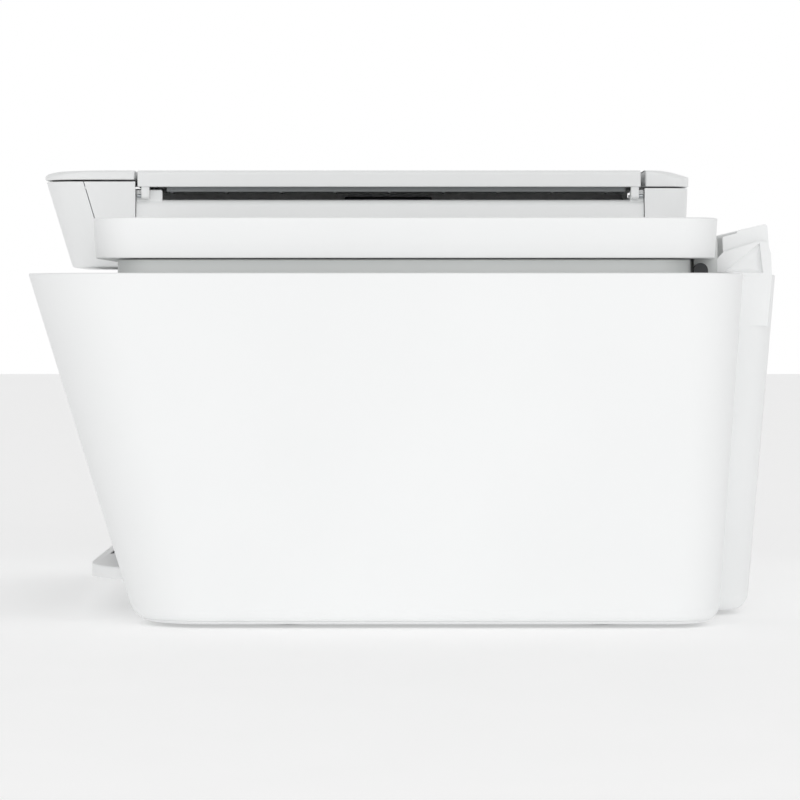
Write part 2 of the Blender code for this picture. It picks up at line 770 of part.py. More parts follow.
def make_lid(frame):
    flat = outline(LID_LEFT, LID_RIGHT, LID_FRONT, LID_REAR, LID_CORNER, LID_CORNER)
    lid = prism("document_lid", flat, "Z", (LID_BOTTOM, LID_TOP), WHITE)
    bay = box(
        "document_bay",
        (HUMP_RIGHT + 0.0045, LID_RIGHT - LID_RIM),
        (LID_FRONT + LID_RIM, LID_REAR - LID_REAR_RIM),
        (LID_FLOOR, LID_TOP + 0.01),
        bevel=0.004,
    )
    step = box(
        "hump_step",
        (LID_LEFT - 0.01, HUMP_RIGHT + 0.0006),
        (LID_FRONT - 0.01, LID_REAR + 0.01),
        (LID_FLOOR, LID_TOP + 0.01),
    )
    exit_gap = box(
        "exit_gap",
        (HUMP_RIGHT - 0.002, HUMP_RIGHT + 0.012),
        (-0.1155, 0.1225),
        (LID_FLOOR, LID_TOP + 0.01),
    )
    cut(lid, bay, step, exit_gap)
    y, z = LID_AXIS
    for side, (low, high) in HINGE_X.items():
        notch = box(
            f"hinge_notch_{side}",
            (low - GAP, high + GAP),
            (y - HINGE_RADIUS - 0.0008, LID_REAR + 0.01),
            (LID_BOTTOM - 0.01, z + HINGE_RADIUS + 0.0008),
        )
        cut(lid, notch)
        join(lid, cylinder(f"lid_pin_{side}", (low - 0.003, y, z), (high + 0.003, y, z), LID_PIN, sides=12))
        arc = [math.radians(180 * i / 8) for i in range(9)]
        profile = [(y + HINGE_RADIUS * math.cos(a), z + HINGE_RADIUS * math.sin(a)) for a in arc]
        profile += [(y - HINGE_RADIUS, DECK_TOP - 0.001), (y + HINGE_RADIUS, DECK_TOP - 0.001)]
        bore = hole(f"bracket_bore_{side}", (low - 0.01, y, z), (high + 0.01, y, z), LID_PIN + 0.0004, 12)
        join(frame, prism(f"hinge_bracket_{side}", profile, "X", (low, high)))
        cut(frame, bore)
    tray_y, tray_z = ADF_TRAY_AXIS[0], ADF_TRAY_AXIS[1]
    cut(lid, hole("tray_bore", (tray_y, LID_FRONT + 0.0012, tray_z), (tray_y, 0.1286, tray_z), 0.0015, 12))
    box(
        "lid_pad",
        (GLASS_LEFT + 0.004, GLASS_RIGHT - 0.004),
        (GLASS_FRONT + 0.004, GLASS_REAR - 0.004),
        (GLASS_SEAT + GLASS_THICKNESS + 0.0006, LID_BOTTOM - 0.0003),
        FOAM,
    )


def hump_front(z):
    return -0.1573 - (z - HUMP_BOTTOM) * 0.3075


def hump_rear(z):
    return 0.1475 + (z - HUMP_BOTTOM) * 0.0375


def hump_ring(z, inset=0.0):
    flat = outline(
        HUMP_LEFT + inset,
        HUMP_RIGHT - inset,
        hump_front(z) + inset,
        hump_rear(z) - inset,
        HUMP_FRONT_CORNER - inset,
        HUMP_REAR_CORNER - inset,
    )
    return [(x, y, z) for x, y in flat]


def seam_side(name, forward, gap):
    """A block on one side of the slanted seam between the feeder's front shell and its body."""
    top, low = (-0.1510, HUMP_FRONT_TOP), (-0.1382, HUMP_BOTTOM)
    lean = (top[0] - low[0]) / (top[1] - low[1])
    far = -0.2 if forward else 0.2
    shift = -gap if forward else gap
    edge = [(low[0] + lean * (z - low[1]) + shift, z) for z in (0.14, 0.21)]
    return prism(name, [*edge, (far, 0.21), (far, 0.14)], "X", (-0.25, -0.05))


COVER_AXIS = (-0.2005, 0.1895)
PIN = 0.0013
ADF_TRAY_AXIS = (-0.0885, 0.1663)
ADF_FEED_AXIS = (-0.160, 0.1735)
ADF_PICK_AXIS = (-0.130, 0.1815)


def make_feeder_shell():
    heights = (HUMP_BOTTOM, HUMP_FRONT_TOP)
    front = shell("adf_front_shell", hump_ring, heights, WALL, floor=HUMP_BOTTOM + 0.002)
    cut(front, seam_side("behind_seam", False, 0.0))
    body = shell("adf_body", hump_ring, heights, WALL, floor=HUMP_BOTTOM + 0.002)
    inner = (HUMP_LEFT + 0.001, HUMP_RIGHT - 0.0003)
    cheek_z = (LID_FLOOR + 0.0008, HUMP_TOP - 0.0002)
    join(
        body,
        box("mouth_cheek_front", inner, (MOUTH_FRONT - WALL, MOUTH_FRONT + 0.0002), cheek_z),
        box("mouth_cheek_rear", inner, (MOUTH_REAR - 0.0002, MOUTH_REAR + WALL), cheek_z),
    )
    mouth_x = (HUMP_RIGHT - 0.006, HUMP_RIGHT + 0.01)
    cut(
        body,
        seam_side("before_seam", True, -GAP),
        box("mouth_cut", mouth_x, (MOUTH_FRONT, MOUTH_REAR), (0.15, 0.21)),
        box("lid_room", (-0.2038, -0.05), (LID_FRONT - 0.0008, LID_REAR + 0.0006), (0.15, LID_FLOOR + 0.0004)),
        box("cover_room", (-0.25, -0.05), (-0.1252, 0.2), (HUMP_TOP, 0.21)),
        box("cover_clearance", (-0.22, HUMP_LEFT + 0.0035), (-0.1246, 0.1256), (0.1838, 0.21)),
    )
    across = {
        "cover_bore": (COVER_AXIS, PIN + 0.0003),
        "adf_feed_bore": (ADF_FEED_AXIS, SHAFT_RADIUS + RUNNING),
        "adf_pick_bore": (ADF_PICK_AXIS, SHAFT_RADIUS + RUNNING),
    }
    for name, ((x, z), radius) in across.items():
        cut(body, hole(name, (x, MOUTH_FRONT - 0.004, z), (x, MOUTH_REAR + 0.004, z), radius, 12))

    front_roll = ((0.0, 0.02), (0.0010, 0.0), (0.0024, 0.045), (0.0038, 0.27), (0.0043, 0.5), (0.0046, 1.0))
    rear_roll = ((0.0, 0.0), (0.0045, 0.0), (0.0058, 0.15), (0.0070, 0.42), (0.0077, 0.7), (0.0081, 1.0))
    make_cap("adf_front_cap", -0.1710, -0.1256, 0.0155, FRONT_CAP_BOTTOM, front_roll)
    make_cap("adf_rear_cap", 0.1275, 0.1494, 0.0125, CAP_BOTTOM, rear_roll)

    ramp = [
        (-0.0970, 0.1640),
        (-0.0970, 0.1662),
        (-0.0990, 0.1828),
        (-0.1002, 0.1855),
        (-0.1030, 0.1866),
        (-0.1180, 0.1866),
        (-0.1180, 0.1846),
        (-0.1034, 0.1846),
        (-0.1014, 0.1838),
        (-0.1010, 0.1822),
        (-0.0990, 0.1640),
    ]
    low, high = MOUTH_FRONT + GAP, MOUTH_REAR - GAP
    wall = prism("adf_ramp", ramp, "Y", (low, high), PALE_GREY)
    for side, span in (("front", (low, -0.1120)), ("rear", (0.1200, high))):
        join(wall, box(f"mouth_end_{side}", (-0.1034, -0.1005), span, (0.1785, 0.1915)))


def make_cap(name, front, rear, roll, bottom, levels):
    """A top cap of the feeder: its outer end rolls down over a distance, by a share at each level."""
    is_front = front < 0
    rings = []
    for rise, share in levels:
        side = 0.0012 * share**2
        flat = outline(
            HUMP_LEFT - 0.0004 + side,
            HUMP_RIGHT + 0.0004 - side,
            front + (roll * share if is_front else 0),
            rear - (0 if is_front else roll * share),
            HUMP_FRONT_CORNER if is_front else 0.0008,
            0.0008 if is_front else HUMP_REAR_CORNER,
        )
        rings.append([(x, y, bottom + rise) for x, y in flat])
    cap = loft(name, rings, WHITE)
    if not is_front:
        return
    for button, x in BUTTONS.items():
        cut(cap, hole(f"{button}_hole", (x, BUTTON_Y, 0.19), (x, BUTTON_Y, 0.21), BUTTON_RADIUS + 0.0003, 20))
        seat, top = (x, BUTTON_Y, FRONT_CAP_BOTTOM + 0.0004), (x, BUTTON_Y, BUTTON_TOP)
        cylinder(button, seat, top, BUTTON_RADIUS, PALE_GREY, sides=20)
    low, high = DISPLAY
    recess_z = (CAP_TOP - 0.0022, 0.21)
    cut(cap, box("display_recess", (low - 0.0003, high + 0.0003), (-0.1483, -0.1307), recess_z))
    box("display", (low, high), (-0.148, -0.131), (CAP_TOP - 0.0019, CAP_TOP - 0.0001), BLACK)


def make_feeder_works():
    x, z = COVER_AXIS
    cover = box("adf_cover", (-0.2050, HUMP_RIGHT + 0.0005), (-0.1240, 0.1250), (CAP_BOTTOM, CAP_TOP), WHITE, bevel=0.0012)
    cut(cover, box("cover_hollow", (-0.1975, -0.1005), (-0.1205, 0.1215), (0.18, CAP_TOP - 0.0025)))
    join(cover, box("cover_skirt", (-0.2050, -0.2032), (-0.1238, 0.1248), (0.1850, 0.1945)))
    for side, low, high in (("front", -0.1238, -0.1212), ("rear", 0.1222, 0.1248)):
        lug = box(f"cover_lug_{side}", (x - 0.0022, x + 0.0022), (low, high), (z - 0.0022, CAP_BOTTOM + 0.002))
        reach = (low - 0.0025, high) if side == "front" else (low, high + 0.0035)
        join(cover, lug, cylinder(f"cover_pin_{side}", (x, reach[0], z), (x, reach[1], z), PIN, sides=12))

    for side, low in (("front", -0.1222), ("rear", 0.1202)):
        join(cover, box(f"catch_arm_{side}", (-0.1000, -0.0965), (low, low + 0.004), (0.1869, CAP_BOTTOM + 0.002)))

    rack = box("adf_sheet_guide", (-0.1195, -0.1010), (-0.1100, 0.1180), (0.1906, CAP_TOP - 0.0028), DARK_GREY)
    for i in range(9):
        y = -0.108 + 0.0270 * i
        join(rack, box(f"guide_rib_{i}", (-0.1190, -0.1015), (y, y + 0.0012), (0.1902, 0.192)))

    for name, (x, z), radius, reach in (
        ("adf_feed_roller", ADF_FEED_AXIS, 0.0115, 0.045),
        ("adf_pick_roller", ADF_PICK_AXIS, 0.0075, 0.022),
    ):
        shaft = cylinder(
            name,
            (x, MOUTH_FRONT - 0.0018, z),
            (x, MOUTH_REAR + 0.0018, z),
            SHAFT_RADIUS,
            RUBBER,
            sides=12,
        )
        join(shaft, cylinder(name + "_tyre", (x, -reach, z), (x, reach, z), radius, sides=18))

    x, z = ADF_TRAY_AXIS
    tray = box("adf_tray", (-0.0910, 0.110), (-0.1150, 0.1220), (z - 0.0013, z + 0.0013), PALE_GREY)
    reaches = {"front": (-0.1188, -0.113), "rear": (0.120, 0.1268)}
    for side, (low, high) in reaches.items():
        join(tray, cylinder(f"adf_tray_pin_{side}", (x, low, z), (x, high, z), 0.0011, sides=12))
    finger = cylinder("finger_notch", (0.112, 0.0035, 0.15), (0.112, 0.0035, 0.18), 0.016, folder=cutters)
    cut(tray, finger)
    top = z + 0.0013 + 0.0003
    for name, low, inward in (("front", -0.1125, 1), ("rear", 0.1175, -1)):
        fin = box(f"adf_guide_{name}", (-0.083, -0.036), (low, low + 0.002), (top, top + 0.0060), PALE_GREY)
        foot_y = (low, low + 0.014) if inward > 0 else (low - 0.012, low + 0.002)
        join(fin, box(f"adf_guide_foot_{name}", (-0.066, -0.053), foot_y, (top, top + 0.0014)))


# Rear feed: the tilting tray, the support that slides out of it and its two sheet guides
def make_rear_feed():
    y, z = REAR_AXIS
    arc = [math.radians(180 + 180 * i / 6) for i in range(7)]
    panel = [(y + PIN * math.cos(a), z + PIN * math.sin(a)) for a in arc]
    panel += [(y + PIN - 0.0012, SUPPORT_TOP), (y - PIN - 0.0012, SUPPORT_TOP)]
    left, right = PAPER_LEFT + 0.0035, PAPER_RIGHT - 0.0035
    tray = prism("input_tray", panel, "X", (left, right), WHITE)
    cheek = [
        (y - 0.0005, z + 0.0002),
        (y - 0.0014, SUPPORT_TOP - 0.0002),
        (0.1470, 0.1645),
        (0.1455, 0.1570),
        (0.1580, 0.1502),
    ]
    for side, (low, high) in {"left": (left, left + 0.002), "right": (right - 0.002, right)}.items():
        join(tray, prism(f"cheek_{side}", cheek, "X", (low, high)))
    join(tray, cylinder("tray_pin", (PAPER_LEFT + 0.001, y, z), (PAPER_RIGHT - 0.001, y, z), PIN - 0.0001, sides=12))
    box("paper_support", (-0.058, 0.106), (0.1590, 0.1608), (0.126, 0.1665), PALE_GREY, bevel=0.0004, segments=1)
    for side, low in (("left", -0.0845), ("right", 0.1305)):
        fin = [(0.1482, 0.1400), (0.1482, 0.1620), (0.1515, 0.1655), (0.1584, 0.1655), (0.1584, 0.1330)]
        prism(f"paper_guide_{side}", fin, "X", (low, low + 0.002), PALE_GREY)


# Front: the bezel behind the slot, the ink door and the two-stage output tray
def slab_on_slope(name, x, z, setback, depth, colour=None):
    """A panel parallel to the front face, set back from it and so thick, between two heights."""
    low, high = z
    faces = [
        (front_at(low) + setback, low),
        (front_at(high) + setback, high),
        (front_at(high) + setback + depth, high),
        (front_at(low) + setback + depth, low),
    ]
    return prism(name, faces, "X", x, colour)


def make_front():
    left, right = PAPER_LEFT - SLOT_SIDE, PAPER_RIGHT + SLOT_SIDE
    bezel = slab_on_slope("front_bezel", (left - 0.007, right + 0.007), (0.0105, 0.111), 0.0034, 0.006, PALE_GREY)
    cut(
        bezel,
        box(
            "bezel_opening",
            (left + 0.0002, right - 0.0002),
            (-0.17, -0.05),
            (SLOT_BOTTOM + 0.0005, SLOT_TOP - 0.0005),
        ),
    )
    door_z = DOOR_BOTTOM + DOOR_AXIS_RISE
    door_y = front_at(door_z) + DOOR_THICKNESS + 0.0022
    cut(bezel, hole("door_bore", (left - 0.004, door_y, door_z), (right + 0.004, door_y, door_z), PIN + 0.0003, 12))
    door = slab_on_slope("cartridge_door", (left, right), (0.050, 0.106), 0.0, DOOR_THICKNESS, WHITE)
    shape = outline(left + 0.0006, right - 0.0006, DOOR_BOTTOM, SLOT_TOP - 0.001, 0.0008, 0.0024)
    combine(door, [prism("door_shape", shape, "Y", (-0.2, -0.05))], "INTERSECT")
    for side, (low, high) in {"left": (left + 0.0007, left + 0.006), "right": (right - 0.006, right - 0.0007)}.items():
        lug_y = (door_y - 0.0035, door_y + 0.0016)
        join(door, box(f"door_lug_{side}", (low, high), lug_y, (door_z - 0.0016, door_z + 0.0022)))
    join(door, cylinder("door_pin_left", (left - 0.003, door_y, door_z), (left + 0.003, door_y, door_z), PIN, sides=12))
    join(door, cylinder("door_pin_right", (right - 0.003, door_y, door_z), (right + 0.003, door_y, door_z), PIN, sides=12))

    box("output_tray", (-0.0920, 0.1400), (-0.0975, -0.002), (0.0206, 0.0236), PALE_GREY)
    corner_x = TRAY_LIP_CORNER
    lip_flat = []
    depth = TRAY_LIP_BACK - TRAY_LIP_FRONT
    for centre, first in ((PAPER_LEFT + corner_x, 180), (PAPER_RIGHT - corner_x, 270)):
        for i in range(7):
            angle = math.radians(first + 15 * i)
            lip_flat.append((centre + corner_x * math.cos(angle), TRAY_LIP_BACK + depth * math.sin(angle)))
    extension = prism("tray_extension", lip_flat, "Z", (TRAY_LIP_BOTTOM, TRAY_LIP_TOP), WHITE)
    join(
        extension,
        box("extension_slide", (-0.0860, 0.1340), (TRAY_LIP_BACK - 0.002, -0.004), (0.0192, 0.0203)),
    )
    cut(extension, box("catch_pocket", (-0.0066, 0.0546), (-0.1256, -0.1132), (0.0182, 0.03)))
    catch = [(-0.1246, 0.0186), (-0.1136, 0.0186), (-0.1136, 0.0210), (-0.1246, 0.0210),
             (-0.1252, 0.0204), (-0.1252, 0.0192)]    # the heel's corners are cut so that it turns in its pocket
    prism("paper_catch", catch, "X", (-0.006, 0.054), PALE_GREY)


def put_origin(name, point):
    """Moves an object's origin to a point, such as one on its joint's axis, and leaves its shape."""
    obj = bpy.data.objects[name]
    shift = obj.matrix_world.inverted() @ Vector(point)
    obj.data.transform(Matrix.Translation(-shift))
    obj.location = point


def hang(parent, *names):
    """Parents objects where they stand."""
    holder = bpy.data.objects[parent]
    for name in names:
        child = bpy.data.objects[name]
        child.parent = holder
        child.matrix_parent_inverse = holder.matrix_world.inverted()


def set_pivots():
    door_z = DOOR_BOTTOM + DOOR_AXIS_RISE
    pivots = {
        "document_lid": (0, *LID_AXIS),
        "adf_cover": (COVER_AXIS[0], 0, COVER_AXIS[1]),
        "input_tray": (0, *REAR_AXIS),
        "cartridge_door": (0, front_at(door_z) + DOOR_THICKNESS + 0.0022, door_z),
        "paper_catch": (0.024, *CATCH_AXIS),
        "feed_roller": (0, *FEED_AXIS),
        "eject_roller": (0, *EJECT_AXIS),
        "pick_roller": (0, *PICK_AXIS),
        "idler_gear": (-0.1975, *IDLER_CENTRE),
        "motor_pinion": (-0.1975, *PINION_CENTRE),
    }
    bpy.context.view_layer.update()
    for name, point in pivots.items():
        put_origin(name, point)
    bpy.context.view_layer.update()
    hang("document_lid", "lid_pad", "adf_body", "adf_front_shell", "adf_front_cap", "adf_rear_cap", "adf_ramp")
    hang("document_lid", "adf_cover", "adf_tray", "adf_feed_roller", "adf_pick_roller", "display", *BUTTONS)
    hang("adf_cover", "adf_sheet_guide")
    hang("adf_tray", "adf_guide_front", "adf_guide_rear")
    hang("input_tray", "paper_support", "paper_guide_left", "paper_guide_right")
    hang("output_tray", "tray_extension")
    hang("tray_extension", "paper_catch")
    hang("carriage", "ink_cartridge_black", "ink_cartridge_colour")


make_body()
make_rear_housing()
scanner = make_scanner()
make_paper_drive()
make_chassis()
make_carriage()
make_electronics()
make_lid(scanner)
make_feeder_shell()
make_feeder_works()
make_rear_feed()
make_front()
set_pivots()
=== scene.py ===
import bmesh
import bpy
import numpy as np
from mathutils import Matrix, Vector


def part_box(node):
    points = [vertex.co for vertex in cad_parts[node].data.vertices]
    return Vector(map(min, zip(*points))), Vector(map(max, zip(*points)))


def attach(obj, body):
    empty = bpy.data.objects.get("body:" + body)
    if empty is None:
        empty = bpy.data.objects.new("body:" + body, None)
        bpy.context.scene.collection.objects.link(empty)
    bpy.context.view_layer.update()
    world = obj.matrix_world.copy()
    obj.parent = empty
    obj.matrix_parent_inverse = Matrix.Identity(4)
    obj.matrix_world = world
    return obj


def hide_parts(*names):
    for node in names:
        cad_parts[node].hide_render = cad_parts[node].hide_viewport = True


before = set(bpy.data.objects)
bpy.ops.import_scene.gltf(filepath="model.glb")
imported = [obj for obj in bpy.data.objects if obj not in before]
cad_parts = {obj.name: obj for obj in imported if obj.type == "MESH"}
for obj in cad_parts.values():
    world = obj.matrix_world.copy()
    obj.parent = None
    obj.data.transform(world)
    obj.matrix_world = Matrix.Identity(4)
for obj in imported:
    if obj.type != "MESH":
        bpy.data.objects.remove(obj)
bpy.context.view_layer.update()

# Studio: a pale floor and soft white light all round, as a product is shown. The camera stands
# level, square to the right-hand side of the printer, one and a half metres from that side.
scene = bpy.context.scene
scene.view_settings.view_transform = "Standard"
camera = bpy.data.objects.new("camera", bpy.data.cameras.new("camera"))
scene.collection.objects.link(camera)
scene.camera = camera
camera.location = (1.714, 0.0059, 0.1309)
camera.rotation_euler = (np.pi / 2, 0, np.pi / 2)
camera.data.lens = 164.6
camera.data.sensor_width = 36
camera.data.shift_y = -0.11
camera.data.clip_end = 50


def linear(colour):
    """An sRGB hex colour as linear RGBA: the low part over 12.92, the rest by the 2.4 power curve."""
    srgb = np.array([int(colour[i : i + 2], 16) for i in (0, 2, 4)]) / 255
    return (*np.where(srgb <= 0.04045, srgb / 12.92, ((srgb + 0.055) / 1.055) ** 2.4), 1.0)


def add(tree, kind, links=None, **settings):
    """Adds a node; a setting names an input socket or a property, and a link gives an input its source."""
    made = tree.nodes.new(kind)
    for key, value in settings.items():
        socket = next((s for s in made.inputs if s.name.replace(" ", "_") == key), None)
        if socket is None:
            setattr(made, key, value)
        else:
            socket.default_value = value
    for key, source in (links or {}).items():
        tree.links.new(source, made.inputs[key])
    return made


def material(name):
    """An empty node material: its tree and its Principled shader."""
    made = bpy.data.materials.new(name)
    made.use_nodes = True
    tree = made.node_tree
    tree.nodes.clear()
    shader = add(tree, "ShaderNodeBsdfPrincipled")
    add(tree, "ShaderNodeOutputMaterial", {"Surface": shader.outputs["BSDF"]})
    return made, tree, shader


# Studio paper: a matt uncoated sheet, whose faint mottling of 40 mm keeps it from looking painted.
floor_paper, tree, shader = material("studio_paper_matt")
place = add(tree, "ShaderNodeTexCoord")
mottle = add(tree, "ShaderNodeTexNoise", {"Vector": place.outputs["Object"]}, Scale=25.0, Detail=3.0)
ramp = add(tree, "ShaderNodeValToRGB", {"Fac": mottle.outputs["Fac"]})
ramp.color_ramp.elements[0].color = linear("fafafa")
ramp.color_ramp.elements[1].color = linear("ffffff")
tree.links.new(ramp.outputs["Color"], shader.inputs["Base Color"])
shader.inputs["Roughness"].default_value = 0.9
shader.inputs["Specular IOR Level"].default_value = 0.1
shader.inputs["Emission Color"].default_value = (1, 1, 1, 1)
shader.inputs["Emission Strength"].default_value = 0.17
floor_mesh = bpy.data.meshes.new("studio_floor")
floor_mesh.from_pydata([(-6, -6, 0), (6, -6, 0), (6, 6, 0), (-6, 6, 0)], [], [(0, 1, 2, 3)])
floor = bpy.data.objects.new("studio_floor", floor_mesh)
floor_mesh.materials.append(floor_paper)
scene.collection.objects.link(floor)

# The sky is bright at both sides and half as bright to the front, the rear and above, so that the side
# shows its form. Two round softboxes fill the side and the rear corner: spot, aim, diameter and watts.
world = bpy.data.worlds.new("studio_sky")
scene.world = world
world.use_nodes = True
sky = world.node_tree
towards = add(sky, "ShaderNodeTexCoord")
parts = add(sky, "ShaderNodeSeparateXYZ", {"Vector": towards.outputs["Generated"]})
across = add(sky, "ShaderNodeMath", {0: parts.outputs["X"]}, operation="ABSOLUTE")
glow = add(
    sky,
    "ShaderNodeMapRange",
    {"Value": across.outputs["Value"]},
    From_Min=0.25,
    From_Max=0.85,
    To_Min=0.5,
    To_Max=1.0,
)
sky.links.new(glow.outputs["Result"], sky.nodes["Background"].inputs["Strength"])
sky.nodes["Background"].inputs["Color"].default_value = (1, 1, 1, 1)
lamps = {
    "side_softbox": ((2.6, 0.2, 0.7), (0.2, 0.0, 0.1), 1.6, 7.5),
    "rear_softbox": ((1.4, 1.8, 0.6), (0.1, 0.1, 0.1), 0.9, 1.0),
}
for lamp_name, (spot, aim, size, power) in lamps.items():
    lamp = bpy.data.objects.new(lamp_name, bpy.data.lights.new(lamp_name, "AREA"))
    scene.collection.objects.link(lamp)
    lamp.location = spot
    away = np.array(spot) - np.array(aim)
    lamp.rotation_euler = (np.arctan2(np.hypot(away[0], away[1]), away[2]), 0, np.arctan2(away[0], -away[1]))
    lamp.data.shape = "DISK"
    lamp.data.size = size
    lamp.data.energy = power


# Lower body: a shallow base pan under a bowl-shaped main housing, both injection moulded in white ABS,
# with a thin seam between them. The walls lean out towards the top, most of all at the front.
RIM = 0.147
SEAM = 0.0032
WALL = 0.0022
FILLET = 0.0075
FILLET_TOP = 0.009


def outline(x0, x1, y0, y1, front, rear, arc=12):
    """Rounded rectangles, one a row, anticlockwise from the front left corner.

    Each corner is a quarter circle, with one radius at the low end of the second axis and one at its
    high end, and each straight side has a point close to both its ends, so that it shades flat.
    """
    x0, x1, y0, y1, front, rear = np.broadcast_arrays(*np.atleast_1d(x0, x1, y0, y1, front, rear))
    turn = np.linspace(0, np.pi / 2, arc + 1)
    corners = (
        (x0 + front, y0 + front, front, np.pi),
        (x1 - front, y0 + front, front, 1.5 * np.pi),
        (x1 - rear, y1 - rear, rear, 0.0),
        (x0 + rear, y1 - rear, rear, 0.5 * np.pi),
    )
    arcs = [
        np.stack(
            [
                cx[:, None] + radius[:, None] * np.cos(start + turn),
                cy[:, None] + radius[:, None] * np.sin(start + turn),
            ],
            axis=-1,
        )
        for cx, cy, radius, start in corners
    ]
    share = np.array([0.015, 0.3, 0.7, 0.985])[None, :, None]
    parts = []
    for here, following in zip(arcs, arcs[1:] + arcs[:1]):
        parts += [here, here[:, -1:] * (1 - share) + following[:, :1] * share]
    return np.concatenate(parts, axis=1)


def surface(name, grid, around=True, closed=False, caps=False, shade=35):
    """A mesh on a grid of points: rows run up the outside and columns run anticlockwise.

    The columns can join up around, the rows can close into a ring, and a flat cap can end both ends.
    """
    rows, columns = grid.shape[:2]
    number = np.arange(rows * columns).reshape(rows, columns)
    if around:
        number = np.concatenate([number, number[:, :1]], axis=1)
    if closed:
        number = np.concatenate([number, number[:1]], axis=0)
    quads = np.stack([number[:-1, :-1], number[:-1, 1:], number[1:, 1:], number[1:, :-1]], axis=-1)
    faces = quads.reshape(-1, 4).tolist()
    if caps:
        faces += [number[0, :columns][::-1].tolist(), number[-1, :columns].tolist()]
    mesh = bpy.data.meshes.new(name)
    mesh.from_pydata(grid.reshape(-1, 3).tolist(), [], faces)
    mesh.shade_smooth()
    mesh.set_sharp_from_angle(angle=np.radians(shade))
    obj = bpy.data.objects.new(name, mesh)
    scene.collection.objects.link(obj)
    return obj


def stacked(name, flat, stations, axis="Z", **kind):
    """Outlines stacked at stations along an axis: (Y, Z) outlines along X, (X, Z) along Y, (X, Y) along Z."""
    station = np.broadcast_to(np.asarray(stations)[:, None, None], flat.shape[:2] + (1,))
    order = {"X": (2, 0, 1), "Y": (0, 2, 1), "Z": (0, 1, 2)}[axis]
    grid = np.concatenate([flat, station], axis=-1)[..., order]
    return surface(name, grid[::-1] if axis == "Y" else grid, **kind)


def edge_rows(low, high, low_edge, high_edge, steps=4):
    """How far each row is drawn in and where it stands, for a wall with a quarter round at both ends."""
    turn = np.linspace(0, np.pi / 2, steps + 1)
    inset = np.concatenate([low_edge * (1 - np.sin(turn)), high_edge * (1 - np.cos(turn))])
    station = np.concatenate([low + low_edge * (1 - np.cos(turn)), high - high_edge * (1 - np.sin(turn))])
    between = np.array([0.03, 0.5, 0.97])
    inset = np.insert(inset, steps + 1, [0, 0, 0])
    flat = (low + low_edge) * (1 - between) + (high - high_edge) * between
    return inset, np.insert(station, steps + 1, flat)


def block(name, x, y, z, corner, edge, axis="Z", **kind):
    """A moulded block: a rounded outline across the axis, and a small round on its two end edges."""
    spans = {"X": (y, z, x), "Y": (x, z, y), "Z": (x, y, z)}[axis]
    inset, station = edge_rows(*spans[2], edge, edge)
    (a0, a1), (b0, b1) = spans[:2]
    radius = np.maximum(corner - inset, 1e-5)
    flat = outline(a0 + inset, a1 - inset, b0 + inset, b1 - inset, radius, radius, kind.pop("arc", 6))
    return stacked(name, flat, station, axis, caps=True, **kind)


def carve(obj, *cutters, operation="DIFFERENCE"):
    """Cuts or joins one mesh with others, applies it and removes them."""
    for cutter in cutters:
        step = obj.modifiers.new("carve", "BOOLEAN")
        step.object = cutter
        step.operation = operation
    graph = bpy.context.evaluated_depsgraph_get()
    mesh = bpy.data.meshes.new_from_object(obj.evaluated_get(graph))
    obj.modifiers.clear()
    obj.data = mesh
    mesh.shade_smooth()
    mesh.set_sharp_from_angle(angle=np.radians(30))
    for cutter in cutters:
        bpy.data.objects.remove(cutter)
    return obj


def dress(obj, finish, body, slot, *nodes):
    """Gives a piece its material and body, and hides the frame nodes that it stands for. The slot is not
    used.
    """
    obj.data.materials.clear()
    obj.data.materials.append(finish)
    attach(obj, body)
    if nodes:
        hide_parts(*nodes)
    return obj


def moulded_plastic(name, colour, shade_colour, roughness, grain, depth):
    """Moulded plastic: a spark-eroded grain of a size in metres, and a slow drift in tone and gloss."""
    made, tree, shader = material(name)
    place = add(tree, "ShaderNodeTexCoord")
    drift = add(tree, "ShaderNodeTexNoise", {"Vector": place.outputs["Object"]}, Scale=9.0, Detail=2.0)
    tone = add(tree, "ShaderNodeValToRGB", {"Fac": drift.outputs["Fac"]})
    tone.color_ramp.elements[0].position = 0.3
    tone.color_ramp.elements[1].position = 0.7
    tone.color_ramp.elements[0].color = linear(shade_colour)
    tone.color_ramp.elements[1].color = linear(colour)
    pits = add(tree, "ShaderNodeTexNoise", {"Vector": place.outputs["Object"]}, Scale=1 / grain, Detail=3.0)
    gloss = add(
        tree,
        "ShaderNodeMapRange",
        {"Value": pits.outputs["Fac"]},
        To_Min=roughness - 0.05,
        To_Max=roughness + 0.05,
    )
    relief = add(tree, "ShaderNodeBump", {"Height": pits.outputs["Fac"]}, Distance=depth, Strength=0.35)
    tree.links.new(tone.outputs["Color"], shader.inputs["Base Color"])
    tree.links.new(gloss.outputs["Result"], shader.inputs["Roughness"])
    tree.links.new(relief.outputs["Normal"], shader.inputs["Normal"])
    shader.inputs["IOR"].default_value = 1.53
    return made


# White ABS from a spark-eroded mould: its grain is about 0.15 mm and is drawn at 0.5 mm, so that it
# gives the satin bloom of the real shell.
white_abs = moulded_plastic("white_abs_satin", "f7f8f8", "f4f5f5", 0.42, 0.0005, 0.00002)


def bowl_outline(inset, z, arc=14):
    """The body's outline at a height: all four sides lean, and a fillet draws the lowest part in."""
    drop = RIM - z
    below = np.clip(FILLET_TOP - z, 0, FILLET)
    inset = inset + FILLET - np.sqrt(FILLET**2 - below**2)
    half = 0.214 - 0.053 * drop - inset
    front = -0.150 + 0.309 * drop + inset
    rear = 0.1485 - 0.0667 * drop - inset
    softening = np.minimum(inset, 0.006)
    front_corner = 0.036 - 0.045 * drop - softening
    rear_corner = 0.0218 - 0.01 * drop - softening
    return outline(-half, half, front, rear, front_corner, rear_corner, arc)


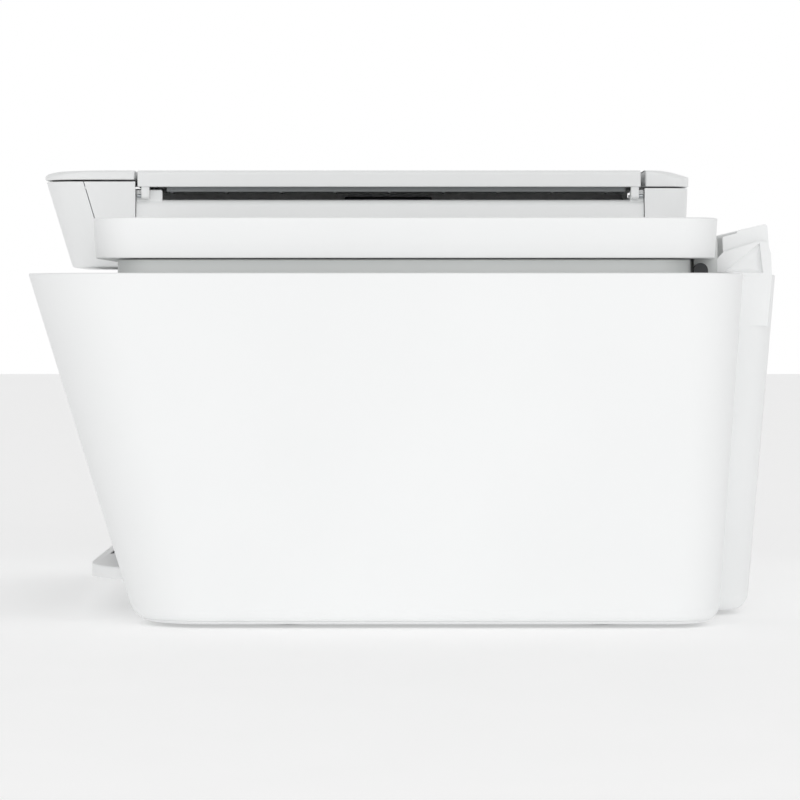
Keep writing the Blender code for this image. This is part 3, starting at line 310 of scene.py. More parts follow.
turn = np.linspace(0, np.pi / 2, 5)
RIM_ROUND, SEAM_ROUND = 0.0007, 0.0001
wall_z = [0.0095, 0.05, 0.1, 0.1455]
fillet_z = np.linspace(0.0036, FILLET_TOP, 12)
outer_z = np.concatenate([SEAM + SEAM_ROUND * (1 - np.cos(turn)), fillet_z, wall_z])
outer_inset = np.concatenate([SEAM_ROUND * (1 - np.sin(turn)), np.zeros(16)])
rim_z = RIM - RIM_ROUND * (1 - np.sin(turn))
rim_inset = RIM_ROUND * (1 - np.cos(turn))
inner_z = np.array([0.1455, 0.142, 0.1, 0.05, 0.0095, 0.007, SEAM])
bowl_z = np.concatenate([outer_z, rim_z, rim_z[::-1], inner_z])
bowl_inset = np.concatenate([outer_inset, rim_inset, WALL - rim_inset[::-1], np.full(7, WALL)])
housing = stacked("bowl_shell", bowl_outline(bowl_inset, bowl_z), bowl_z, closed=True)
SLOT_X, SLOT_Z = (-0.096, 0.144), (0.0135, 0.104)
carve(
    housing,
    block("slot_tool", SLOT_X, (-0.2, -0.08), SLOT_Z, 0.003, 0.001, axis="Y"),
    block("well_tool", (-0.088, 0.136), (0.11, 0.2), (0.012, 0.16), 0.002, 0.001, axis="Y"),
    block("usb_tool", (-0.1668, -0.1532), (0.13, 0.16), (0.0312, 0.0438), 0.0008, 0.0002, axis="Y"),
    block("inlet_tool", (0.1596, 0.1844), (0.13, 0.16), (0.0216, 0.0404), 0.0015, 0.0002, axis="Y"),
)
dress(housing, white_abs, "base", "white_plastic", "main_housing")

pan_z = np.concatenate([np.linspace(0.0015, SEAM - 0.0003, 8), [SEAM - 0.0001]])
pan_inset = np.append(np.zeros(8), 0.0002)
pan = stacked("base_tray", bowl_outline(pan_inset, pan_z), pan_z, caps=True)
rails = [
    block("rail", (low, low + 0.0043), (-0.095, 0.010), (0.0025, 0.0178), 0.0008, 0.0005)
    for low in (-0.0975, 0.1412)
]
carve(pan, *rails, operation="UNION")
dress(pan, white_abs, "base", "white_plastic", "base_pan")


# Feet: four rubber pads pressed into round recesses of the base pan. Rubber is matt and dark, with a
# fine moulded grain, and only a millimetre and a half of each shows.
def disc(name, centre, radius, span, edge, axis="Z", columns=48):
    """A turned disc or pin between two stations: circles whose radius is drawn in by a small round."""
    inset, station = edge_rows(*span, edge, edge, 3)
    turn = np.linspace(0, 2 * np.pi, columns, endpoint=False)
    radii = (radius - inset)[:, None]
    flat = np.stack([centre[0] + radii * np.cos(turn), centre[1] + radii * np.sin(turn)], axis=-1)
    return stacked(name, flat, station, axis, caps=True)


rubber = moulded_plastic("foot_rubber_matt", "2d2e30", "242527", 0.78, 0.0004, 0.00004)
for node_name in ("foot_front_left", "foot_front_right", "foot_rear_left", "foot_rear_right"):
    low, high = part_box(node_name)
    middle = [(low[i] + high[i]) / 2 for i in range(2)]
    pad = disc(node_name.replace("foot", "pad"), middle, (high[0] - low[0]) / 2, (low[2], high[2]), 0.0006)
    dress(pad, rubber, "base", "rubber", node_name)


# Rear feed housing: a bump on the back of the body that holds the paper well. It is one white
# moulding, with a gusset at each side that rises to the tray's hinge and is scooped out on the outside.
PAPER_LEFT, PAPER_RIGHT = -0.092, 0.140
SCOOP_DEPTH = 0.0023


def slab(name, line, span, axis="X"):
    """A flat shape, anticlockwise in its plane, given thickness along an axis."""
    flat = np.broadcast_to(np.array(line)[None], (2, len(line), 2))
    return stacked(name, flat, np.array(span), axis, caps=True)


def bump_outline(inset, z, reach=0.0, arc=10):
    """The well's outline at a height, open to the front: down one side, round the rear and back."""
    drop = RIM - z
    below = np.clip(FILLET_TOP - z, 0, FILLET)
    inset = inset + FILLET - np.sqrt(FILLET**2 - below**2)
    rear = 0.1687 - 0.085 * drop - inset
    front = 0.1485 - 0.0667 * drop + 0.0004 - reach
    radius = 0.014 - np.minimum(inset, 0.006)
    return outline(PAPER_LEFT + inset, PAPER_RIGHT - inset, front, rear, 0.0003, radius, arc)


bump_z = np.concatenate([np.linspace(0.0025, FILLET_TOP, 10), [0.0095, 0.05, 0.1, 0.1455], rim_z])
bump_inset = np.concatenate([np.zeros(14), rim_inset])
bump = stacked("feed_housing", bump_outline(bump_inset, bump_z), bump_z, caps=True)
hollow_z = np.array([0.005, 0.0075, 0.0095, 0.1, 0.16])
carve(
    bump,
    stacked("hollow_tool", bump_outline(np.full(5, WALL), hollow_z, reach=0.02), hollow_z, caps=True),
)
gusset_line = [
    (0.1640, 0.1250),
    (0.1660, 0.1460),
    (0.1656, 0.1560),
    (0.1640, 0.1612),
    (0.1592, 0.1612),
    (0.1452, 0.1568),
    (0.1400, 0.1510),
    (0.1400, 0.1480),
    (0.1492, 0.1478),
    (0.1492, 0.1250),
]
for low in (PAPER_LEFT + 0.0002, PAPER_RIGHT - 0.0030):
    carve(bump, slab("gusset", gusset_line, (low, low + 0.0028)), operation="UNION")
scoop_corners = np.array([(0.1454, 0.1483), (0.1622, 0.1476), (0.1607, 0.1606)])
along = np.linspace(0, 1, 13)[:-1, None]
scoop_ends = np.roll(scoop_corners, -1, 0)
scoop_rim = np.concatenate([a * (1 - along) + b * along for a, b in zip(scoop_corners, scoop_ends)])
hollow_turn = np.linspace(0, np.pi / 2, 10)[1:]
depth = SCOOP_DEPTH * np.cos(hollow_turn) ** 0.8
centre = np.array([0.1592, 0.1505])
for face, inward in ((PAPER_RIGHT - 0.0002, -1), (PAPER_LEFT + 0.0002, 1)):
    flat = centre + (scoop_rim - centre) * np.concatenate([np.sin(hollow_turn), [1.0]])[:, None, None]
    across_x = face + inward * np.concatenate([depth, [-0.002]])
    order = slice(None) if inward < 0 else slice(None, None, -1)
    carve(bump, stacked("scoop_tool", flat[order], across_x[order], "X", caps=True))
dress(bump, white_abs, "base", "white_plastic", "rear_housing")


# Paper chute: a grey sloping floor that leads the sheets from the well down to the rollers. Grey ABS
# with the same moulded grain as the shell.
grey_abs = moulded_plastic("grey_abs_satin", "d9dbda", "d3d5d4", 0.45, 0.0005, 0.00003)
dark_abs = moulded_plastic("dark_grey_abs", "35373a", "2f3134", 0.5, 0.0005, 0.00003)
black_abs = moulded_plastic("black_abs_satin", "1a1b1d", "151618", 0.4, 0.0004, 0.00002)


def refinish(finish, *node_names):
    """Gives frame nodes a material in place of their plain one."""
    for node_name in node_names:
        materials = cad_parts[node_name].data.materials
        materials.clear()
        materials.append(finish)


refinish(grey_abs, "paper_chute")


# Scanner deck: a sunken grey ledge inside the bowl's rim with a raised neck round the glass. The lid's
# two grey hinge brackets and two small buffers stand on its rear edge. The buffers are mid-grey pieces
# in shadow, drawn in dark plastic: their darkness is painted shade.
deck_z = np.array([0.1405, 0.1430])
deck = stacked("deck_plate", bowl_outline(np.full(2, WALL + 0.0004), deck_z), deck_z, caps=True)
neck = block("neck", (-0.200, 0.200), (-0.1120, 0.1271), (0.1415, 0.1527), 0.014, 0.0005, arc=10)
carve(deck, neck, operation="UNION")
carve(
    deck,
    block("seat_tool", (-0.178, 0.160), (-0.101, 0.118), (0.1475, 0.17), 0.002, 0.0002),
    block("window_tool", (-0.174, 0.156), (-0.097, 0.114), (0.12, 0.17), 0.002, 0.0002),
    block("notch_tool", (-0.091, 0.139), (0.1395, 0.17), (0.12, 0.17), 0.002, 0.0002),
)
dress(deck, grey_abs, "base", "grey_plastic", "scanner_frame")
HINGE_Y, HINGE_Z, HINGE_ROUND = 0.134, 0.160, 0.005
HINGE_LEFT, HINGE_RIGHT = (-0.0885, -0.0705), (0.163, 0.181)
BRACKET_FOOT = 0.1433
half_turn = np.linspace(0, np.pi, 17)
bracket_line = np.stack(
    [HINGE_Y + HINGE_ROUND * np.cos(half_turn), HINGE_Z + HINGE_ROUND * np.sin(half_turn)], axis=-1
)
bracket_foot = [[HINGE_Y - HINGE_ROUND, BRACKET_FOOT], [HINGE_Y + HINGE_ROUND, BRACKET_FOOT]]
bracket_line = np.concatenate([bracket_line, bracket_foot])
centre = np.array([[HINGE_Y, 0.152]])
for side_name, bracket_span in (("left", HINGE_LEFT), ("right", HINGE_RIGHT)):
    inset, station = edge_rows(*bracket_span, 0.0006, 0.0006, 3)
    spread = bracket_line - centre
    length = np.linalg.norm(spread, axis=1, keepdims=True)
    flat = centre + spread * (1 - inset[:, None, None] / length)
    bracket = stacked(f"hinge_bracket_{side_name}", flat, station, "X", caps=True)
    dress(bracket, grey_abs, "base", "grey_plastic")

buffer_line = np.stack([0.1316 + 0.0030 * np.cos(half_turn), 0.1482 + 0.0032 * np.sin(half_turn)], axis=-1)
buffer_line = np.concatenate([buffer_line, [[0.1286, BRACKET_FOOT], [0.1346, BRACKET_FOOT]]])
# Dark plastic here is painted shade: it stands for mid-grey buffers that sit in shadow under the lid.
for side_name, span in (("left", (-0.0699, -0.0660)), ("right", (0.1816, 0.1860))):
    dress(slab(f"lid_buffer_{side_name}", buffer_line, span), dark_abs, "base", "dark_plastic")


# Scanner glass: a sheet of 2.5 mm float glass, bonded into the neck's ledge. Its faces are fire polished,
# with only a faint haze from wiping.
def polished_glass(name, tint, haze):
    """Clear glass or a clear window: full transmission, and a gloss that varies over 30 mm."""
    made, tree, shader = material(name)
    place = add(tree, "ShaderNodeTexCoord")
    wipe = add(tree, "ShaderNodeTexNoise", {"Vector": place.outputs["Object"]}, Scale=33.0, Detail=2.0)
    gloss = add(tree, "ShaderNodeMapRange", {"Value": wipe.outputs["Fac"]}, To_Min=0.01, To_Max=haze)
    tree.links.new(gloss.outputs["Result"], shader.inputs["Roughness"])
    shader.inputs["Base Color"].default_value = linear(tint)
    shader.inputs["Transmission Weight"].default_value = 1.0
    shader.inputs["IOR"].default_value = 1.52
    return made


float_glass = polished_glass("float_glass_clear", "eef6f3", 0.04)
low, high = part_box("scanner_glass")
sheet = block("glass_sheet", *np.array([low, high]).T, 0.0018, 0.0003)
dress(sheet, float_glass, "base", "glass", "scanner_glass")


# Scanner tub and scan bar: a dark moulded tub under the deck with a steel rod, and the black sensor bar
# that a shoe carries along it.
refinish(dark_abs, "scanner_tub")
refinish(black_abs, "scan_bar")


# Document lid: a white moulding like a shallow tray, with 1 mm of draft to its lower edge. Two lugs at
# its rear turn on pins in the grey brackets, and a foam pad presses the paper to the glass.
LID_X, LID_Y, LID_Z = (-0.2032, 0.205), (-0.1220, 0.1382), (0.1532, 0.1700)
inset, station = edge_rows(*LID_Z, 0.0005, 0.0007)
inset = inset + 0.0011 * (LID_Z[1] - station) / (LID_Z[1] - LID_Z[0])
flat = outline(LID_X[0] + inset, LID_X[1] - inset, LID_Y[0] + inset, LID_Y[1] - inset, 0.016, 0.016, 14)
lid = stacked("lid_tray", flat, station, caps=True)
BAY_Z = (0.1585, 0.18)
carve(
    lid,
    block("bay_tool", (-0.0915, 0.201), (-0.118, 0.1255), BAY_Z, 0.012, 0.0015, arc=10),
    block("step_tool", (-0.22, -0.0954), (-0.14, 0.15), BAY_Z, 0.0005, 0.0002),
    block("exit_tool", (-0.098, -0.084), (-0.1155, 0.1225), BAY_Z, 0.0005, 0.0002),
    *[
        block("lug_tool", (low - 0.0004, high + 0.0004), (0.1282, 0.15), (0.14, 0.1658), 0.0004, 0.0002)
        for low, high in (HINGE_LEFT, HINGE_RIGHT)
    ],
)
pins = [
    disc("pin", (HINGE_Y, HINGE_Z), 0.0022, (low - 0.003, high + 0.003), 0.0003, "X")
    for low, high in (HINGE_LEFT, HINGE_RIGHT)
]
carve(lid, *pins, operation="UNION")
dress(lid, white_abs, "lid", "white_plastic", "document_lid")

# Lid pad: white open-cell foam, whose cells of about 1 mm make it quite matt.
foam, tree, shader = material("white_open_cell_foam")
place = add(tree, "ShaderNodeTexCoord")
cells = add(tree, "ShaderNodeTexVoronoi", {"Vector": place.outputs["Object"]}, Scale=900.0)
tone = add(tree, "ShaderNodeValToRGB", {"Fac": cells.outputs["Distance"]})
tone.color_ramp.elements[0].color = linear("e6e6e2")
tone.color_ramp.elements[1].color = linear("f4f4f1")
relief = add(tree, "ShaderNodeBump", {"Height": cells.outputs["Distance"]}, Distance=0.0002, Strength=0.5)
tree.links.new(tone.outputs["Color"], shader.inputs["Base Color"])
tree.links.new(relief.outputs["Normal"], shader.inputs["Normal"])
shader.inputs["Roughness"].default_value = 0.92
low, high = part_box("lid_pad")
pad = block("foam_pad", *np.array([low, high]).T, 0.003, 0.0008)
dress(pad, foam, "lid", "foam", "lid_pad")


# Feeder body and front shell: one white box on the lid's left, in two mouldings that meet at a slanted
# seam. The body is open on the right, where the sheets go in, and the shell's front leans out upwards.
FEEDER_LEFT, FEEDER_RIGHT = -0.206, -0.096
FEEDER_BOTTOM, FEEDER_TOP, FRONT_TOP = 0.153, 0.1922, 0.1955
MOUTH_FRONT, MOUTH_REAR = -0.1252, 0.1271


def feeder_outline(inset, z, arc=12):
    """The feeder's outline at a height: its front leans out by 0.31 and its rear by 0.04."""
    rise = z - FEEDER_BOTTOM
    front = -0.1573 - 0.3075 * rise + inset
    rear = 0.1475 + 0.0375 * rise - inset
    return outline(
        FEEDER_LEFT + inset, FEEDER_RIGHT - inset, front, rear, 0.016 - inset, 0.011 - inset, arc
    )


def feeder_shell(name):
    """The whole box: its outer wall with rounded lower and upper edges, hollowed down to a 2 mm floor."""
    inset, station = edge_rows(FEEDER_BOTTOM, FRONT_TOP, 0.0009, 0.0004)
    shell = stacked(name, feeder_outline(inset, station), station, caps=True)
    hollow_z = np.array([FEEDER_BOTTOM + 0.002, 0.17, 0.20])
    hollow = stacked("hollow_tool", feeder_outline(np.full(3, WALL), hollow_z), hollow_z, caps=True)
    return carve(shell, hollow)


def seam_side(forward, gap):
    """The half space before or behind the slanted seam, as a slab over the whole feeder."""
    lean = -0.0128 / 0.0427
    steps = ((0.14, 0), (0.166, 0), (0.166, gap), (0.21, gap))
    edge = [(-0.1382 + lean * (z - FEEDER_BOTTOM) + extra, z) for z, extra in steps]
    line = [(-0.25, 0.14), *edge, (-0.25, 0.21)] if forward else [(0.25, 0.21), *edge[::-1], (0.25, 0.14)]
    return slab("seam_tool", line, (-0.25, -0.05))


front_shell = carve(feeder_shell("feeder_front"), seam_side(False, 0.0))
dress(front_shell, white_abs, "lid", "white_plastic", "adf_front_shell")

body = carve(feeder_shell("feeder_box"), seam_side(True, 0.0004))
cheek_x, cheek_z = (-0.205, -0.0964), (0.1595, 0.1919)
cheeks = [
    block("cheek", cheek_x, span, cheek_z, 0.0003, 0.0002)
    for span in ((MOUTH_FRONT - WALL, MOUTH_FRONT + 0.0002), (MOUTH_REAR - 0.0002, MOUTH_REAR + WALL))
]
carve(body, *cheeks, operation="UNION")
mouth_x = (FEEDER_RIGHT - 0.006, FEEDER_RIGHT + 0.01)
carve(
    body,
    block("mouth_tool", mouth_x, (MOUTH_FRONT, MOUTH_REAR), (0.15, 0.21), 0.0002, 0.0002, axis="X"),
    block("lid_tool", (-0.2038, -0.05), (-0.1228, 0.1388), (0.15, 0.1589), 0.0002, 0.0002),
    block("cover_tool", (-0.25, -0.05), (-0.1252, 0.2), (FEEDER_TOP, 0.21), 0.0002, 0.0001),
    block("skirt_tool", (-0.22, FEEDER_LEFT + 0.0035), (-0.1246, 0.1256), (0.1838, 0.21), 0.0002, 0.0002),
    block("groove_tool", (-0.0962, -0.09), (0.1452, 0.1456), (0.15, 0.21), 0.0001, 0.0001),
)
dress(body, white_abs, "lid", "white_plastic", "adf_body")


# Mouth wall: the curved white sheet guide that the paper climbs on its way in, with a higher end at each
# side, so that a long window is left between them.
over = np.linspace(0, np.pi / 2, 9)
climb = np.stack([-0.1030 + 0.0040 * np.cos(over), 0.1828 + 0.0038 * np.sin(over)], axis=-1)
climb = np.concatenate([[(-0.0970, 0.1640), (-0.0970, 0.1662)], climb, [(-0.1180, 0.1866)]])
descent = [(-0.1180, 0.1846), (-0.1034, 0.1846), (-0.1014, 0.1838), (-0.1010, 0.1822), (-0.0990, 0.1640)]
wall = slab("mouth_wall", np.concatenate([climb, descent]), (MOUTH_FRONT + 0.0004, MOUTH_REAR - 0.0004), "Y")
ends = [
    block("wall_end", (-0.1034, -0.1005), span, (0.1785, 0.1915), 0.0008, 0.0003, axis="X")
    for span in ((MOUTH_FRONT + 0.0004, -0.1120), (0.1200, MOUTH_REAR - 0.0004))
]
carve(wall, *ends, operation="UNION")
dress(wall, white_abs, "lid", "white_plastic", "adf_ramp")


# Feeder caps: the control panel at the front and a plain cap at the rear, white and satin, whose outer
# ends roll down. They snap on to the shell, and leave a dark line under them.
CAP_TOP = 0.2010
LOWER_ROUND, SIDE_ROUND = 0.0005, 0.0020


def cap(name, front, rear, roll, bottom, straight, power):
    """A cap whose end is drawn in by a superellipse as it rises, and whose sides end in a 2 mm round.

    Over the straight part the end stands plumb, and above it the inset is roll x (1 - (1 - u^n)^(1/n)).
    """
    height = CAP_TOP - bottom
    turn = np.linspace(0, np.pi / 2, 5)
    share = np.sort(1 - np.cos(np.linspace(0, np.pi / 2, 26)))
    rise = np.concatenate([LOWER_ROUND * (1 - np.cos(turn)), straight + (height - straight) * share])
    low_round = np.concatenate([LOWER_ROUND * (1 - np.sin(turn)), np.zeros(26)])
    u = np.clip((rise - straight) / (height - straight), 0, 1)
    end = roll * (1 - (1 - u**power) ** (1 / power)) + low_round
    above = np.clip(rise - (height - SIDE_ROUND), 0, SIDE_ROUND)
    side = SIDE_ROUND - np.sqrt(SIDE_ROUND**2 - above**2) + low_round
    lead = front < 0
    flat = outline(
        FEEDER_LEFT - 0.0004 + side,
        FEEDER_RIGHT + 0.0004 - side,
        front + (end if lead else low_round),
        rear - (low_round if lead else end),
        0.0160 - 0.5 * side if lead else 0.0008,
        0.0008 if lead else 0.0110 - 0.5 * side,
    )
    return stacked(name, flat, bottom + rise, caps=True, shade=40)


panel = cap("control_panel", -0.1710, -0.1256, 0.0155, 0.1964, 0.0010, 2.5)
BUTTON_Y = -0.1395
BUTTON_X = {
    "power_button": -0.194,
    "wireless_button": -0.181,
    "copy_button": -0.122,
    "cancel_button": -0.1085,
}
BUTTON_TOP = 0.20115
DISPLAY_X, DISPLAY_Y = (-0.170, -0.134), (-0.148, -0.131)
wells = [disc("well_tool", (x, BUTTON_Y), 0.0043, (0.19, 0.21), 0.0002) for x in BUTTON_X.values()]
screen_well = block(
    "screen_tool",
    (DISPLAY_X[0] - 0.0003, DISPLAY_X[1] + 0.0003),
    (DISPLAY_Y[0] - 0.0003, DISPLAY_Y[1] + 0.0003),
    (CAP_TOP - 0.0022, 0.21),
    0.0018,
    0.0002,
)
carve(panel, *wells, screen_well)
dress(panel, white_abs, "lid", "white_plastic", "adf_front_cap")
rear_cap = cap("rear_cap", 0.1275, 0.1494, 0.0125, 0.1930, 0.0046, 1.15)
dress(rear_cap, white_abs, "lid", "white_plastic", "adf_rear_cap")


# Buttons and display: four round grey keys with plain raised signs, and a dark polished window between
# them. Each key stands 0.15 mm above the panel, and its sign a little higher.
SIGN_BARS = {
    "power_button": ((0.0005, 0.0022, 0.0006), (0.0022, 0.0004, -0.0012)),
    "wireless_button": ((0.0008, 0.0004, -0.0010), (0.0017, 0.0004, -0.0001), (0.0026, 0.0004, 0.0008)),
    "copy_button": ((0.0016, 0.0004, 0.0009), (0.0016, 0.0004, -0.0009)),
    "cancel_button": ((0.0024, 0.0005, 0.0),),
}


def key_sign(kind, x, y, z):
    """A raised sign 0.12 mm high on a key, made of small bars: width, depth and how far each is back."""
    return [
        block(
            "bar",
            (x - wide / 2, x + wide / 2),
            (y + back - deep / 2, y + back + deep / 2),
            (z - 0.0003, z + 0.00012),
            0.0001,
            0.00005,
            arc=2,
        )
        for wide, deep, back in SIGN_BARS[kind]
    ]


key_grey = moulded_plastic("grey_abs_key", "b9bcbc", "b3b6b6", 0.38, 0.0004, 0.00002)
for key_name, x in BUTTON_X.items():
    key = disc(key_name.replace("button", "key"), (x, BUTTON_Y), 0.004, (0.1966, BUTTON_TOP), 0.0004)
    carve(key, *key_sign(key_name, x, BUTTON_Y, BUTTON_TOP), operation="UNION")
    dress(key, key_grey, f"{key_name}_body", "grey_plastic", key_name)

# Display window: black acrylic, polished, with a faint haze from wiping.
window, tree, shader = material("black_acrylic_polished")
place = add(tree, "ShaderNodeTexCoord")
haze = add(tree, "ShaderNodeTexNoise", {"Vector": place.outputs["Object"]}, Scale=60.0, Detail=2.0)
gloss = add(tree, "ShaderNodeMapRange", {"Value": haze.outputs["Fac"]}, To_Min=0.05, To_Max=0.12)
tree.links.new(gloss.outputs["Result"], shader.inputs["Roughness"])
shader.inputs["Base Color"].default_value = linear("101214")
shader.inputs["IOR"].default_value = 1.49
screen = block("display_window", DISPLAY_X, DISPLAY_Y, (CAP_TOP - 0.0019, CAP_TOP - 0.0001), 0.0015, 0.0003)
dress(screen, window, "lid", "display_window", "display")


# Feeder cover: a white lid over the feed rollers, hinged along its left edge. It carries the ribbed grey
# guide that presses the sheets down, and a catch arm with a steel pin at each end of the mouth.
COVER_BOTTOM = 0.1929
inset, station = edge_rows(COVER_BOTTOM, CAP_TOP, 0.0004, SIDE_ROUND, 8)
cover_flat = outline(-0.2050 + inset, -0.0955 - inset, -0.1240, 0.1250, 0.0006, 0.0006, 3)
cover = stacked("feeder_cover_panel", cover_flat, station, caps=True, shade=40)
hollow_z = (0.18, CAP_TOP - 0.0025)
carve(cover, block("hollow_tool", (-0.1975, -0.1005), (-0.1205, 0.1215), hollow_z, 0.002, 0.0005))
hinge_x, hinge_z = -0.2005, 0.1895
lug_x, lug_z = (hinge_x - 0.0022, hinge_x + 0.0022), (0.1873, 0.1949)
arm_x, arm_z = (-0.1000, -0.0965), (0.1869, 0.1949)
joined = [block("skirt", (-0.2050, -0.2032), (-0.1238, 0.1248), (0.1850, 0.1945), 0.0004, 0.0003)]
for low, high, pin in ((-0.1238, -0.1212, (-0.1263, -0.1212)), (0.1222, 0.1248, (0.1222, 0.1283))):
    joined.append(block("lug", lug_x, (low, high), lug_z, 0.0012, 0.0002, axis="Y"))
    joined.append(disc("hinge_pin", (hinge_x, hinge_z), 0.0013, pin, 0.0002, "Y"))
for low in (-0.1222, 0.1202):
    joined.append(block("catch_arm", arm_x, (low, low + 0.004), arm_z, 0.0014, 0.0004, axis="Y"))
carve(cover, *joined, operation="UNION")
dress(cover, white_abs, "feeder_cover", "white_plastic", "adf_cover")

# Catch pins: zinc-plated steel, with a fine satin spangle.
steel, tree, shader = material("zinc_plated_steel_satin")
place = add(tree, "ShaderNodeTexCoord")
spangle = add(tree, "ShaderNodeTexNoise", {"Vector": place.outputs["Object"]}, Scale=700.0, Detail=3.0)
tone = add(tree, "ShaderNodeValToRGB", {"Fac": spangle.outputs["Fac"]})
tone.color_ramp.elements[0].color = linear("a9adb0")
tone.color_ramp.elements[1].color = linear("bdc1c4")
gloss = add(tree, "ShaderNodeMapRange", {"Value": spangle.outputs["Fac"]}, To_Min=0.26, To_Max=0.42)
tree.links.new(tone.outputs["Color"], shader.inputs["Base Color"])
tree.links.new(gloss.outputs["Result"], shader.inputs["Roughness"])
shader.inputs["Metallic"].default_value = 1.0
for side_name, span in (("front", (-0.1244, -0.1223)), ("rear", (0.1243, 0.1264))):
    pin = disc(f"catch_pin_{side_name}", (-0.0992, 0.1884), 0.0009, span, 0.0002, "Y", columns=24)
    dress(pin, steel, "feeder_cover", "steel")

guide_grey = moulded_plastic("mid_grey_abs", "85888a", "7e8183", 0.5, 0.0004, 0.00003)
rack = block("sheet_guide", (-0.1195, -0.1010), (-0.1100, 0.1180), (0.1906, 0.1982), 0.001, 0.0004)
ribs = [
    block("rib", (-0.1190, -0.1012), (y, y + 0.0012), (0.1902, 0.1925), 0.0004, 0.0002)
    for y in -0.108 + 0.0270 * np.arange(9)
]
carve(rack, *ribs, operation="UNION")
dress(rack, guide_grey, "feeder_cover", "dark_plastic", "adf_sheet_guide")


# Feeder rollers: steel shafts with rubber tyres moulded on, the large feed roller behind the small pick
# roller. The rubber is matt, with a fine ground surface.
feed_rubber = moulded_plastic("roller_rubber_ground", "3a3b3d", "313234", 0.7, 0.0004, 0.00005)
for node_name, axis_x, axis_z, tyre_radius, reach in (
    ("adf_feed_roller", -0.160, 0.1735, 0.0115, 0.045),
    ("adf_pick_roller", -0.130, 0.1815, 0.0075, 0.022),
):
    tyre = disc(node_name + "_tyre", (axis_x, axis_z), tyre_radius, (-reach, reach), 0.0008, "Y")
    dress(tyre, feed_rubber, node_name + "_body", "rubber", node_name)
    shaft = disc(node_name + "_shaft", (axis_x, axis_z), 0.003, (-0.1270, 0.1289), 0.0004, "Y", columns=24)
    dress(shaft, steel, node_name + "_body", "steel", node_name)


# Feeder shelf: a flat grey tray clipped between the lid's rims, over the bay that the scanned sheets
# drop into. A finger notch is cut in its right edge, and two guides slide on it together.
shelf = block("feeder_shelf", (-0.0910, 0.110), (-0.1150, 0.1220), (0.1650, 0.1676), 0.004, 0.0005)
carve(shelf, disc("finger_tool", (0.112, 0.0035), 0.016, (0.15, 0.18), 0.0002))
shelf_pins = [
    disc("shelf_pin", (-0.0885, 0.1663), 0.0011, span, 0.0002, "Y", columns=24)
    for span in ((-0.1188, -0.113), (0.120, 0.1268))
]
carve(shelf, *shelf_pins, operation="UNION")
dress(shelf, grey_abs, "lid", "grey_plastic", "adf_tray")
guide_x, guide_z = (-0.083, -0.036), (0.1679, 0.1739)
for side_name, low, foot_y in (("front", -0.1125, (-0.1125, -0.0985)), ("rear", 0.1175, (0.1055, 0.1195))):
    guide = block(f"feeder_guide_{side_name}", guide_x, (low, low + 0.002), guide_z, 0.0015, 0.0005, axis="Y")
    foot = block("guide_foot", (-0.066, -0.053), foot_y, (0.1679, 0.1693), 0.0012, 0.0004)
    carve(guide, foot, operation="UNION")
    dress(guide, grey_abs, f"adf_guide_{side_name}_body", "grey_plastic", f"adf_guide_{side_name}")


# Input tray: a white panel at the back that tilts to hold the paper, with a cheek at each end whose top
# edge steps down to the front. It turns on two pins in the gussets, and the grey support slides up out of it.
TRAY_Y, TRAY_Z = 0.1643, 0.150
TRAY_ROUND, TRAY_TOP = 0.0013, 0.1688
low_arc = np.pi * (1 + np.linspace(0, 1, 13))
low_line = np.stack([TRAY_Y + TRAY_ROUND * np.cos(low_arc), TRAY_Z + TRAY_ROUND * np.sin(low_arc)], axis=-1)
top_arc = np.linspace(0, np.pi, 9)
top_y = TRAY_Y - 0.0012 + TRAY_ROUND * np.cos(top_arc)
top_z = TRAY_TOP - TRAY_ROUND + TRAY_ROUND * np.sin(top_arc)
panel_line = np.concatenate([low_line, np.stack([top_y, top_z], axis=-1)])
tray_x = (PAPER_LEFT + 0.0035, PAPER_RIGHT - 0.0035)
tray = slab("input_panel", panel_line, tray_x)
cheek_line = [
    (0.1580, 0.1502),
    (0.1638, 0.1502),
    (0.1629, 0.1686),
    (0.1608, 0.1684),
    (0.1512, 0.1657),
    (0.1512, 0.1649),
    (0.1456, 0.1634),
    (0.1450, 0.1626),
    (0.1452, 0.1570),
]
cheeks = [slab("cheek", cheek_line, (low, low + 0.002)) for low in (tray_x[0], tray_x[1] - 0.002)]
pin_x = (PAPER_LEFT + 0.001, PAPER_RIGHT - 0.001)
hinge_pin = disc("tray_pin", (TRAY_Y, TRAY_Z), 0.0012, pin_x, 0.0002, "X", columns=24)
carve(tray, *cheeks, hinge_pin, operation="UNION")
dress(tray, white_abs, "input_tray_body", "white_plastic", "input_tray")

support = block("sliding_support", (-0.058, 0.106), (0.1590, 0.1608), (0.126, 0.1665), 0.0008, 0.0006)
carve(support, disc("grip_tool", (0.024, 0.1665), 0.010, (0.15, 0.17), 0.0002, "Y"))
dress(support, grey_abs, "paper_support_body", "grey_plastic", "paper_support")
fin_line = [
    (0.1482, 0.1400),
    (0.1584, 0.1330),
    (0.1584, 0.1648),
    (0.1577, 0.1655),
    (0.1515, 0.1655),
    (0.1490, 0.1640),
    (0.1482, 0.1620),
]
for side_name, low in (("left", -0.0845), ("right", 0.1305)):
    guide = slab(f"paper_fin_{side_name}", fin_line, (low, low + 0.002))
    dress(guide, grey_abs, f"paper_guide_{side_name}_body", "grey_plastic", f"paper_guide_{side_name}")


# Front: a grey bezel behind the slot, the white ink door hinged along its lower edge, and the two-stage
# output tray. Only the tray's rounded white lip shows from the side, below the leaning front.
def front_face(z):
    """How far forward the body's front face stands at a height."""
    return -0.150 + 0.309 * (RIM - z)


def front_slab(name, x, z, setback, depth):
    """A panel parallel to the leaning front face, set back from it, between two heights."""
    corners = ((z[0], 0), (z[0], depth), (z[1], depth), (z[1], 0))
    return slab(name, [(front_face(h) + setback + extra, h) for h, extra in corners], x)


